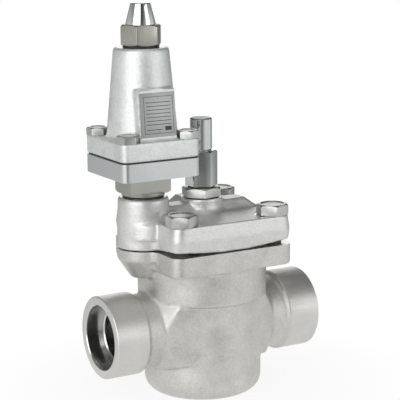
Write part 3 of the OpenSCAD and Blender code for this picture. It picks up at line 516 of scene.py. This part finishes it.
corners = ((1, -1), (-1, -1), (1, 1), (-1, 1))
bolt_spread = 34.6
bolt_places = [(sx * bolt_spread, sy * bolt_spread) for sx, sy in corners]


def lobe_fillets(name, half, low, high):
    """The two hollow fillets between the pilot lobe and the flank of a square."""
    radius = 8
    fillet_x = -half - radius
    reach = lobe_r + radius
    fillet_y = math.sqrt(reach ** 2 - (fillet_x - lobe_x) ** 2)
    web = slab(name, [(lobe_x, 0), (fillet_x, fillet_y), (-half + 3, fillet_y),
                      (-half + 3, -fillet_y), (fillet_x, -fillet_y)], low, high)
    hollows = [round_bar("hollow", radius, low - 1, high + 1, (fillet_x, sign * fillet_y))
               for sign in (-1, 1)]
    return combine(web, hollows, "DIFFERENCE")


barrel = turned("body", [(0, 0), (barrel_r, 0, 10), (barrel_r, 66.5), (42.6, 66.5), (collar_r, 67.7),
                         (collar_r, 92), (0, 92)])
flange = slab("flange", square_outline(2 * flange_half, flange_corner), 90.2, rough_top)
lobe = round_bar("lobe", lobe_r, lobe_low, rough_top, pilot_axis)
lobe_web = lobe_fillets("lobe_web", flange_half, lobe_low, rough_top)
lobe_taper = turned("lobe_taper", [(0, 84), (9, 84), (lobe_r, 97.5), (0, 97.5)], pilot_axis)
lobe_root = slab("lobe_root", [(-36, -12), (-28, -12), (-28, 12), (-36, 12)], 84, lobe_low)
ports = []
for sign in (-1, 1):
    ports.append(turned("port", [(0, 0), (neck_r, 0), (neck_r, sign * 53.5), (port_r, sign * 53.5, 2.2),
                                 (port_r, sign * 79.5), (0, sign * 79.5)], (0, port_z), "X"))
combine(barrel, [flange, lobe, lobe_web, lobe_taper, lobe_root] + ports, "UNION")

# The blend from each port neck to the barrel: flat flanks, arched above and below.
arch_r = neck_r + 58.6
for sign in (-1, 1):
    blend = slab("blend", [(0, -36), (sign * 15.4, -36.6), (sign * neck_reach, -neck_r),
                           (sign * neck_reach, neck_r), (sign * 15.4, 36.6), (0, 36)],
                 port_z - neck_r, port_z + neck_r)
    alone(blend)
    arches = []
    for shift in (neck_r - arch_r, arch_r - neck_r):
        bpy.ops.mesh.primitive_cylinder_add(vertices=160, radius=arch_r * MM, depth=100 * MM,
                                            location=(0, 0, (port_z + shift) * MM),
                                            rotation=(0, math.pi / 2, 0))
        arches.append(bpy.context.object)
    arches.append(turned("funnel", [(0, 0), (75.8, 0), (neck_r, sign * neck_reach), (0, sign * neck_reach)],
                         (0, port_z), "X"))
    combine(blend, arches, "INTERSECT")
    combine(barrel, [blend], "UNION")
cast(barrel, 0.9, 9)

# What is machined on the body: the ports are turned outside, their sockets and the rooms are bored,
# and the joint face is milled.


def block_beyond(face, depth, x=0):
    """A large block whose one face lies at a height, above it or below it for a negative depth."""
    bpy.ops.mesh.primitive_cube_add(size=abs(depth) * MM, location=(x * MM, 0, (face + depth / 2) * MM))
    return bpy.context.object


cuts = [block_beyond(joint_face, 400)]
outsides = []
sockets = []
for sign in (-1, 1):
    outsides.append(turned("outside", [
        (0, sign * port_face), (27.1, sign * port_face), (turned_port_r, sign * 77.5),
        (turned_port_r, sign * 54.6), (40, sign * 54.6), (40, sign * 90), (0, sign * 90)],
        (0, port_z), "X", 128))
    sockets.append(turned("socket", [
        (0, sign * 37), (passage_r, sign * 37), (passage_r, sign * 66.2), (17.5, sign * socket_floor),
        (socket_r, sign * socket_floor), (socket_r, sign * 77.4), (22.2, sign * 78.2), (0, sign * 78.2)],
        (0, port_z), "X", 128))
duct_turn = duct_way.to_track_quat("Z", "Y").to_euler()
for sign in (-1, 1):
    duct_middle = Vector((sign * duct_x, 0, port_z + sign * duct_rise)) * MM
    bpy.ops.mesh.primitive_cylinder_add(vertices=64, radius=duct_r * MM, depth=duct_length * MM,
                                        location=duct_middle, rotation=duct_turn)
    cuts.append(bpy.context.object)
cuts.append(turned("rooms", [(0, 9), (30, 9), (30, 38), (25.05, 38), (25.05, 50), (33, 50), (33, 84),
                             (31.05, 84), (31.05, 100), (33.55, 100), (33.55, 106), (0, 106)]))
for place in bolt_places:
    cuts.append(round_bar("bolt_hole", 6.05, 92, 105, place, 40))
barrel.data.materials.append(cast_steel)
combine(barrel, outsides, "DIFFERENCE", turned_port)
# The sockets get the darker bored colour: painted shade inside the ports.
combine(barrel, sockets, "DIFFERENCE", bored_socket_painted_shade)
combine(barrel, cuts, "DIFFERENCE", machined)
finish_piece(barrel, None, "valve", "cast_steel", "valve_body")

# The top cover. A brighter steel casting with a parting ridge round its middle, three raised ridges
# over the pilot channels, the boss of the manual spindle and the tall boss that carries the pilot.
cast_cover = metal("cast_cover", (0.77, 0.77, 0.755), 0.46, 0.75, 0.34, 1.4, 0.13, 0.10)
cover_outline = square_outline(90.2, flange_corner)
cover_draft = (0.9756, 0.9756)
cover_low, pilot_seat_z = plan_span("top_cover")
boss_top, gland_low = plan_span("gland_gasket")
parting = 114
cover_top = 123.6
spot_face = 123.32
cover = slab("cover", cover_outline, parting, cover_low, cover_draft)
cover_adds = [
    slab("cover_top", cover_outline, parting, cover_top, cover_draft),
    turned("boss", [(0, 112), (23, 112), (22, 123.5), (14, 123.5, 5.5), (14, 133.8), (0, 133.8)]),
    turned("pilot_boss", [(0, cover_low), (lobe_r, cover_low), (16.8, pilot_seat_z, 2.2),
                          (0, pilot_seat_z)], pilot_axis),
    turned("pilot_foot", [(0, 112), (22.5, 112), (21.8, 121.5), (16.9, 127.5), (0, 127.5)],
           (lobe_x + 5.5, 0)),
    lobe_fillets("cover_web", 44.2, cover_low, 122.4),
    slab("ridge_out", [(0, -13.5), (42.5, -10, 4), (42.5, 10, 4), (0, 13.5)], 122, 130.7, (0.73, 0.56)),
    slab("ridge_in", [(-44, -13.5), (0, -13.5), (0, 13.5), (-44, 13.5)], 122, 130.6, (1, 0.48)),
    slab("ridge_back", [(-13, 0), (13, 0), (9.5, 38.5, 4), (-9.5, 38.5, 4)], 122, 130.7, (0.56, 0.73)),
]
combine(cover, cover_adds, "UNION")
relief = slab("relief", square_outline(140, 2), 103, 107.1)
lands = [turned("land", [(0, 102), (45, 102), (45, cover_low), (57.5, 107.1), (57.5, 108), (0, 108)]),
         round_bar("lobe_land", 18.4, 102, 108, pilot_axis)]
combine(relief, lands, "DIFFERENCE")
combine(cover, [relief], "DIFFERENCE")
cast(cover, 0.8, 9)
cover_cuts = [block_beyond(cover_low, -200)]
for place in bolt_places:
    cover_cuts.append(round_bar("spot_face", 12.6, spot_face, 126, place, 80))
    cover_cuts.append(round_bar("bolt_hole", 6.5, 103, 126, place, 48))
cover_cuts.append(turned("spindle_bore", [
    (0, 103), (6.05, 103), (6.05, 119.7), (8.05, 119.7), (8.05, 124.7), (10.05, 124.7),
    (10.05, boss_top), (30, boss_top), (30, 140), (0, 140)]))
cover_cuts.append(turned("pilot_bore", [
    (0, 110), (8.05, 110), (8.05, 120), (12.05, 120), (12.05, 138.1), (15.2, 138.1), (15.2, 142),
    (0, 142)], pilot_axis))
cover.data.materials.append(cast_cover)
combine(cover, cover_cuts, "DIFFERENCE", machined)
finish_piece(cover, None, "valve", "cast_cover", "top_cover")

# The four cover bolts. Cold headed steel, plated: the hexagon has a turned crown with a shallow dish,
# and each bolt came to rest at its own angle when it was tightened.


def hexagon(name, across, low, high, turn=0, centre=(0, 0), foot=False, dish=0.0):
    """A hexagon by its width across flats, with its corners turned off above and, with foot, below."""
    corner = across / 2 / math.cos(math.pi / 6)
    prism = slab(name, [(centre[0] + corner * math.cos(math.radians(turn + 60 * k)),
                         centre[1] + corner * math.sin(math.radians(turn + 60 * k)))
                        for k in range(6)], low, high)
    face = across / 2 - 0.4
    flank = corner + 0.6
    rise = (flank - face) * math.tan(math.radians(30))
    line = [(0, low), (face, low), (flank, low + rise)] if foot else [(0, low - 1), (flank, low - 1)]
    line += [(flank, high - rise), (face, high)]
    if dish:
        line += [(face - 1.1, high), (face - 1.9, high - dish)]
    line += [(0, high - dish)]
    return combine(prism, [turned("crown", line, centre, steps=72)], "INTERSECT")


def soft_edges(obj, width):
    """Breaks the sharp edges of a machined piece."""
    alone(obj)
    edge = obj.modifiers.new("edge", "BEVEL")
    edge.width = width * MM
    edge.segments = 2
    edge.limit_method = "ANGLE"
    edge.angle_limit = math.radians(30)
    bpy.ops.object.modifier_apply(modifier=edge.name)


def set_out(obj, places, angles):
    """Copies a piece made on the Z axis to its places, each at its own angle, and joins the copies."""
    copies = []
    for (x, y), turn in zip(places, angles):
        alone(obj)
        bpy.ops.object.duplicate()
        copy = bpy.context.object
        copy.location = (x * MM, y * MM, 0)
        copy.rotation_euler = (0, 0, math.radians(turn))
        bpy.ops.object.transform_apply(location=True, rotation=True, scale=True)
        copies.append(copy)
    name = obj.name
    bpy.data.objects.remove(obj)
    alone(copies[0])
    for copy in copies[1:]:
        copy.select_set(True)
    bpy.ops.object.join()
    copies[0].name = name
    return copies[0]


zinc_bolt = metal("zinc_bolt", (0.56, 0.56, 0.54), 0.36, 0.9, 0.26, 1.6, 0.03)
# The cover bolts' shanks are near black: painted shade, where they show in the dark gap under the cover.
painted_shade_shank = metal("painted_shade_shank", (0.06, 0.06, 0.055), 0.6, 0.3, 0.2, 1.0, 0.01)
bolt_angles = (14.9, 25, 41, 4)
bolt_top = plan_span("cover_bolts")[1]
bolt = hexagon("cover_bolt_set", 19, 123.6, bolt_top, dish=0.7)
combine(bolt, [round_bar("collar", 9.2, 123.3, 123.9)], "UNION")
soft_edges(bolt, 0.18)
bolt.data.materials.append(zinc_bolt)
# The shank takes the near black colour: painted shade in the gap under the cover.
combine(bolt, [turned("shank", [(0, 93.4), (5, 93.4), (6, 94.4), (6, 123.5), (0, 123.5)], steps=48)],
        "UNION", painted_shade_shank)
bolts = set_out(bolt, bolt_places, bolt_angles)
finish_piece(bolts, None, "valve", "zinc_bolt", "cover_bolts", angle=20)

# The gland nut of the manual spindle. Turned steel: hexagon, nose in the cover and the threaded
# stub that takes the cap. A soft ring seals it on the boss.


def threaded(name, radius, low, high, pitch, centre=(0, 0)):
    """A rod with a right hand thread: a tooth is drawn, screwed round the axis and cut to length."""
    root = radius - 0.6 * pitch
    tooth = [(root, 0), (radius, 0.40 * pitch), (radius, 0.52 * pitch), (root, 0.92 * pitch), (root, pitch)]
    start = high + 2 * pitch
    rod = chained(name, [Vector((centre[0] + r, centre[1], start + z)) * MM for r, z in tooth], False)
    bpy.ops.mesh.screw(steps=48, turns=math.ceil((high - low) / pitch) + 4,
                       center=Vector((centre[0], centre[1], 0)) * MM, axis=(0, 0, 1))
    bpy.ops.mesh.select_all(action="SELECT")
    bpy.ops.mesh.remove_doubles(threshold=same_point)
    bpy.ops.mesh.fill_holes(sides=0)
    bpy.ops.mesh.select_all(action="SELECT")
    bpy.ops.transform.resize(value=(1, -1, 1), center_override=(centre[0] * MM, centre[1] * MM, 0))
    bpy.ops.mesh.normals_make_consistent(inside=False)
    bpy.ops.object.mode_set(mode="OBJECT")
    ends = turned("ends", [(0, low), (root, low), (radius + 0.01, low + 0.9), (radius + 0.01, high - 0.9),
                           (root, high), (0, high)], centre)
    return combine(rod, [ends], "INTERSECT")


def flat_ring(name, inner, outer, low, high, edge, centre=(0, 0)):
    """A flat ring with round outer edges."""
    return turned(name, [(inner, low), (outer, low, edge), (outer, high, edge), (inner, high), (inner, low)],
                  centre)


gland_top, cap_low = plan_span("spindle_cap_seal")
gland = hexagon("gland_nut_set", 24, gland_low, gland_top, 11.2)
combine(gland, [turned("nose", [(0, 125), (9.4, 125), (10, 125.6), (10, 134.2), (0, 134.2)]),
                round_bar("relief", 6, 140, 142)], "UNION")
soft_edges(gland, 0.2)
combine(gland, [threaded("stub", 7, 141, 151.4, 1.5)], "UNION")
combine(gland, [round_bar("bore", 5.1, 120, 155)], "DIFFERENCE")
finish_piece(gland, zinc_bolt, "valve", "zinc_bolt", "gland_nut", angle=20)
black_gasket = metal("black_gasket", (0.035, 0.035, 0.035), 0.6, 0.0, 0.3, 0.6, 0.02)
gland_ring = flat_ring("gland_ring", 10.2, 11.4, boss_top, gland_low, 0.2)
finish_piece(gland_ring, black_gasket, "valve", "black_gasket", "gland_gasket")

# The cap of the manual spindle. Bright drawn hexagon steel with a long turned end; it screws down
# on the stub and presses a flat ring.
cropped_end = metal("cropped_end", (0.36, 0.37, 0.37), 0.42, 0.9, 0.10, 2.0, 0.01, 0.02)
bright_cap = metal("bright_cap", (0.66, 0.68, 0.68), 0.14, 1.0, 0.05, 3.0, 0.003, 0.012)
cap = hexagon("spindle_cap_piece", 19, cap_low, 165.2, 36.2)
combine(cap, [turned("round", [(0, 160), (6.9, 160), (6.9, 165.4), (7.35, 166.0), (7.35, 188), (0, 188)])],
        "UNION")
soft_edges(cap, 0.25)
cap.data.materials.append(bright_cap)
combine(cap, [turned("cropped_end", [(0, 186.9), (6.6, 186.9), (7.4, 186.1), (9, 186.1), (9, 189),
                                     (0, 189)])], "DIFFERENCE", cropped_end)
combine(cap, [turned("bore", [(0, 140), (7.05, 140), (7.05, 152.9), (6, 152.9), (6, 165.4), (0, 168.5)])],
        "DIFFERENCE")
finish_piece(cap, None, "spindle_cap", "bright_cap", "spindle_cap", angle=20)
cap_ring = flat_ring("spindle_cap_ring_piece", 7.1, 9, gland_top, cap_low, 0.2)
finish_piece(cap_ring, black_gasket, "spindle_cap_ring", "black_gasket", "spindle_cap_seal")

# The pilot's body. Machined from bar: collar, spanner flats and a square block with sharp edges;
# its round tip and thread sit in the cover's boss on a black joint ring.
machined_block = metal("machined_block", (0.62, 0.645, 0.64), 0.36, 0.9, 0.07, 2.2, 0.006, 0.02)
# The shank and collar take a darker colour than the block, though cut from the same bar: painted shade under
# the block.
turned_shank_painted_shade = metal("turned_shank_painted_shade", (0.43, 0.43, 0.40), 0.34, 0.95, 0.07, 2.2, 0.006, 0.02)
block_outline = square_outline(56.6, 4.6, lobe_x)
block_low = 153.5
block_top, gasket_top = plan_span("diaphragm_gasket")
collar_low = plan_span("pilot_joint_ring")[1]
diaphragm_room_r = 18
shank_half = 15
spanner_half = 11
block = slab("pilot_block_piece", block_outline, block_low, block_top)
shank = slab("shank", [(lobe_x - shank_half, -spanner_half), (lobe_x + shank_half, -spanner_half),
                       (lobe_x + shank_half, spanner_half), (lobe_x - shank_half, spanner_half)], 141, 154)
combine(shank, [turned("shank_turn", [(0, 140.6), (16.3, 140.6), (18.8, 142.5), (18.8, 156), (0, 156)],
                       pilot_axis)], "INTERSECT")
block.data.materials.append(machined_block)
collar = turned("collar", [(0, collar_low), (14.0, collar_low), (14.4, 139.8), (14.4, 141.8), (0, 141.8)],
                pilot_axis)
# The shank and collar get the darker colour: painted shade under the overhang of the block.
combine(block, [shank, collar], "UNION", turned_shank_painted_shade)
soft_edges(block, 0.35)
combine(block, [turned("tip", [(0, 112.5), (7.4, 112.5), (8, 113.1), (8, 123), (11.4, 123), (12, 123.6),
                               (12, 139.6), (0, 139.6)], pilot_axis)], "UNION")
combine(block, [turned("room", [(0, 111), (2.2, 111), (2.2, 150.4), (6.05, 150.4), (6.05, 162.4),
                                (diaphragm_room_r, 162.4), (diaphragm_room_r, 167), (0, 167)],
                       pilot_axis)], "DIFFERENCE")
finish_piece(block, None, "valve", "machined_block", "pilot_block", angle=15)
joint_ring = flat_ring("joint_ring", 12.3, 13.8, pilot_seat_z, collar_low, 0.3, pilot_axis)
finish_piece(joint_ring, black_gasket, "valve", "black_gasket", "pilot_joint_ring")

# The gasket of the diaphragm, between the pilot's body and its bonnet. Black fibre sheet, cut to the
# outline of the block a little inside its edge, with a round room in the middle.
gasket_sheet = slab("diaphragm_gasket_piece", square_outline(54.6, 4, lobe_x), block_top, gasket_top)
combine(gasket_sheet, [round_bar("room", diaphragm_room_r, block_top - 1, gasket_top + 1, pilot_axis)],
        "DIFFERENCE")
finish_piece(gasket_sheet, black_gasket, "valve", "black_gasket", "diaphragm_gasket")

# The bonnet of the pilot. A bead blasted casting, nearly white: square flange, tapered spring
# housing with a flat pad for the nameplate, and a threaded neck that takes the cap.
blasted_bonnet = metal("blasted_bonnet", (0.85, 0.86, 0.86), 0.48, 0.6, 0.32, 1.6, 0.18)
bonnet_low = plan_span("pilot_bonnet")[0]
bonnet_step = 178.1
cap_seat, pilot_cap_low = plan_span("pilot_cap_seal")
housing_foot_r = 23.55
bonnet = slab("bonnet_piece", block_outline, 166.4, 178.3)
tower = turned("tower", [(0, 176), (26, 176), (25.6, 178.3), (23.4, 178.3, 1.8), (18.05, 236.4, 2.2),
                         (0, 236.4)], pilot_axis)
pad = slab("pad", [(-13.9, 0), (13.1, 0), (13.1, 23), (-13.9, 23)], -1, 33.5)
pad_slope = math.atan(5.5 / 58)
pad_proud = 0.5


def on_pad(obj):
    """Leans a piece made upright at the origin against the front of the spring housing."""
    alone(obj)
    obj.location = Vector((lobe_x, -housing_foot_r - pad_proud, bonnet_step)) * MM
    obj.rotation_euler = (-pad_slope, 0, 0)
    bpy.ops.object.transform_apply(location=True, rotation=True, scale=True)
    return obj


combine(bonnet, [tower, on_pad(pad)], "UNION")
cast(bonnet, 0.7, 7)
bonnet_cuts = [turned("seat", [(0, cap_seat), (13.5, cap_seat), (30, 238), (30, 250), (0, 250)],
                      pilot_axis),
               block_beyond(bonnet_low, -100, lobe_x)]
small_bolt_spread = 21.75
small_bolt_places = [(lobe_x + sx * small_bolt_spread, sy * small_bolt_spread) for sx, sy in corners]
for place in small_bolt_places:
    bonnet_cuts.append(round_bar("spot_face", 8.1, bonnet_step, 182, place, 64))
bonnet.data.materials.append(blasted_bonnet)
combine(bonnet, bonnet_cuts, "DIFFERENCE", machined)
combine(bonnet, [threaded("neck", 8, 235.5, 246.1, 1.5, pilot_axis)], "UNION", machined)
combine(bonnet, [turned("room", [(0, 165), (diaphragm_room_r, 165), (diaphragm_room_r, 169.2),
                                 (14.5, 169.2), (14.5, 222), (5.05, 222), (5.05, 250), (0, 250)],
                        pilot_axis)], "DIFFERENCE")
finish_piece(bonnet, None, "valve", "blasted_bonnet", "pilot_bonnet")

# The four bonnet bolts. Plated steel like the cover bolts, but smaller; they clamp the diaphragm
# between the bonnet and the pilot's body, and each came to rest at its own angle.
small_bolt_angles = (21, 47, 8, 33)
small_bolt_top = plan_span("bonnet_bolts")[1]
small_bolt = hexagon("bonnet_bolt_set", 13, bonnet_step, small_bolt_top, dish=0.5)
combine(small_bolt, [turned("shank", [(0, 156.6), (3.4, 156.6), (4, 157.2), (4, 178.4), (0, 178.4)],
                            steps=40)], "UNION")
soft_edges(small_bolt, 0.14)
small_bolts = set_out(small_bolt, small_bolt_places, small_bolt_angles)
finish_piece(small_bolts, zinc_bolt, "valve", "zinc_bolt", "bonnet_bolts", angle=20)

# The nameplate. Thin aluminium with a printed form of ruled lines, a border and two marks, all of it
# left empty. Two drive pins hold it on the pad of the bonnet.
plate_metal = metal("plate_metal", (0.46, 0.47, 0.47), 0.42, 0.6, 0.06, 2.0, 0.003, 0.01)
print_ink = metal("print_ink", (0.06, 0.06, 0.065), 0.55, 0.0, 0.2, 1.0, 0.0)


def plate_bar(name, left, right, low, high, near, proud):
    """A thin upright bar on the pad, by its span across, its heights and how far it stands out."""
    return slab(name, [(left, -proud), (right, -proud), (right, -near), (left, -near)], low, high)


plate = plate_bar("nameplate_piece", -13, 12.2, 2.6, 31, 0, 0.75)
soft_edges(plate, 0.2)
row_half = 8.8
row_pitch = 2.35
rows = [(-row_half, row_half, 24.6 - row_pitch * k, 25.0 - row_pitch * k) for k in range(7)]
border = [(-10.6, 10.6, 28.4, 28.7), (-10.6, 10.6, 4.8, 5.1), (-10.5, -10.2, 4.9, 28.6),
          (10.2, 10.5, 4.9, 28.6)]
last_row = [(-row_half, 2.0, 7.2, 7.6), (4.2, row_half, 6.6, 9.2)]
marks = [plate_bar("mark", *edges, 0.7, 0.77) for edges in rows + border + last_row]
for mark in marks:
    mark.data.materials.append(print_ink)
plate.data.materials.append(plate_metal)
pin_r = 0.55
for pin_height in (6.2, 27.2):
    bpy.ops.mesh.primitive_uv_sphere_add(segments=24, ring_count=12, radius=pin_r * MM,
                                         location=(0, -0.65 * MM, pin_height * MM))
    bpy.ops.object.transform_apply(location=True, rotation=True, scale=True)
    bpy.context.object.data.materials.append(plate_metal)
    marks.append(bpy.context.object)
alone(plate)
for mark in marks:
    mark.select_set(True)
bpy.ops.object.join()
on_pad(plate)
finish_piece(plate, None, "valve", "plate_metal", "nameplate")

# The pilot's cap. A nickel plated steel hexagon with a polished cone turned on its end; it screws down
# on the neck of the bonnet over a flat ring.
nickel_cap = metal("nickel_cap", (0.47, 0.465, 0.42), 0.36, 0.95, 0.14, 2.0, 0.01, 0.03)
polished = metal("polished", (0.72, 0.73, 0.74), 0.06, 1.0, 0.03, 3.0, 0.002)
pilot_cap = hexagon("pilot_cap_piece", 24, pilot_cap_low, 251.0, 52.3, pilot_axis, foot=True)
soft_edges(pilot_cap, 0.25)
pilot_cap.data.materials.append(nickel_cap)
cone_top = plan_span("pilot_cap")[1]
cone = turned("cone", [(0, 250), (9.75, 250), (9.75, 251.9), (6.45, 264.7, 0.9), (0, cone_top)], pilot_axis)
combine(pilot_cap, [cone], "UNION", polished)
combine(pilot_cap, [turned("bore", [(0, 236), (8.05, 236), (8.05, 247.1), (5.5, 247.1), (5.5, 256.1),
                                    (0, 258)], pilot_axis)], "DIFFERENCE")
finish_piece(pilot_cap, None, "pilot_cap", "nickel_cap", "pilot_cap", angle=20)
pilot_ring = flat_ring("pilot_cap_ring_piece", 8.2, 11.9, cap_seat, pilot_cap_low, 0.4, pilot_axis)
finish_piece(pilot_ring, black_gasket, "pilot_cap_ring", "black_gasket", "pilot_cap_seal")

# The two springs inside. Round spring wire with closed ends: one lifts the servo piston, the other
# loads the diaphragm.
spring_steel = metal("spring_steel", (0.36, 0.37, 0.39), 0.34, 0.95, 0.1, 1.5, 0.01)


def coil_spring(name, wire, across, coils, node):
    """Winds a spring on the place of its node: a closed coil, the open coils and a closed coil."""
    low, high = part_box(node)
    touching = 1.04
    close = wire * touching
    rise = (high[2] - low[2]) / MM - wire - 2 * close
    start = 0
    level = wire / 2
    parts = []
    for turns, climb in ((1, close), (coils - 2, rise), (1, close)):
        bpy.ops.object.select_all(action="DESELECT")
        bpy.ops.mesh.primitive_circle_add(vertices=12, radius=wire / 2 * MM, rotation=(math.pi / 2, 0, start),
                                          location=(across / 2 * math.cos(start) * MM,
                                                    across / 2 * math.sin(start) * MM, level * MM))
        bpy.ops.object.transform_apply(location=True, rotation=True, scale=True)
        part = bpy.context.object
        wind = part.modifiers.new("wind", "SCREW")
        wind.angle = 2 * math.pi * turns
        wind.screw_offset = climb * MM
        wind.steps = round(32 * turns)
        wind.render_steps = wind.steps
        bpy.ops.object.modifier_apply(modifier=wind.name)
        parts.append(part)
        start += 2 * math.pi * turns
        level += climb
    spring = parts[0]
    spring.name = name
    alone(spring)
    for part in parts[1:]:
        part.select_set(True)
    bpy.ops.object.join()
    spring.location = ((low[0] + high[0]) / 2, (low[1] + high[1]) / 2, low[2])
    bpy.ops.object.transform_apply(location=True, rotation=True, scale=True)
    bpy.ops.object.mode_set(mode="EDIT")
    bpy.ops.mesh.select_all(action="SELECT")
    bpy.ops.mesh.remove_doubles(threshold=0.01 * MM)
    bpy.ops.mesh.fill_holes(sides=0)
    bpy.ops.mesh.select_all(action="SELECT")
    bpy.ops.mesh.normals_make_consistent(inside=False)
    bpy.ops.object.mode_set(mode="OBJECT")
    return spring


servo_wound = coil_spring("servo_spring_piece", 2.2, 29, 3.5, "servo_spring")
finish_piece(servo_wound, spring_steel, "valve", "spring_steel", "servo_spring")
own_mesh(servo_wound)
setting_wound = coil_spring("setting_spring_piece", 3.2, 21, 7, "setting_spring")
finish_piece(setting_wound, spring_steel, "valve", "spring_steel", "setting_spring")
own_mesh(setting_wound)

# The pieces inside, and the joint ring between body and cover, keep the shape of the plan: turned
# steel, bronze, rubber and white seal rings. Only their finishes are set here.
turned_steel = metal("turned_steel", (0.64, 0.64, 0.63), 0.28, 1.0, 0.06, 2.0, 0.004, 0.02)
bronze_seat = metal("bronze_seat", (0.62, 0.44, 0.20), 0.30, 1.0, 0.06, 2.0, 0.004)
seal_rubber = metal("seal_rubber", (0.025, 0.025, 0.025), 0.5, 0.0, 0.2, 0.6, 0.01)
white_seal = metal("white_seal", (0.86, 0.86, 0.83), 0.45, 0.0, 0.04, 1.0, 0.004)
inner_finish = {
    turned_steel: ["guide_sleeve", "seat_ring", "servo_piston", "throttle_cone", "manual_spindle",
                   "pilot_seat", "pilot_needle", "setting_spindle"],
    zinc_bolt: ["cone_nut"],
    spring_steel: ["spindle_stop_ring", "diaphragm"],
    bronze_seat: ["spring_plate", "spring_nut"],
    seal_rubber: ["sleeve_foot_oring", "sleeve_top_oring", "pilot_tip_oring", "setting_spindle_oring"],
    white_seal: ["piston_ring", "seal_disc", "spindle_packing", "thrust_washer"],
    black_gasket: ["cover_gasket"],
}
for finish, names in inner_finish.items():
    for name in names:
        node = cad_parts[name]
        node.data.materials.clear()
        node.data.materials.append(finish)
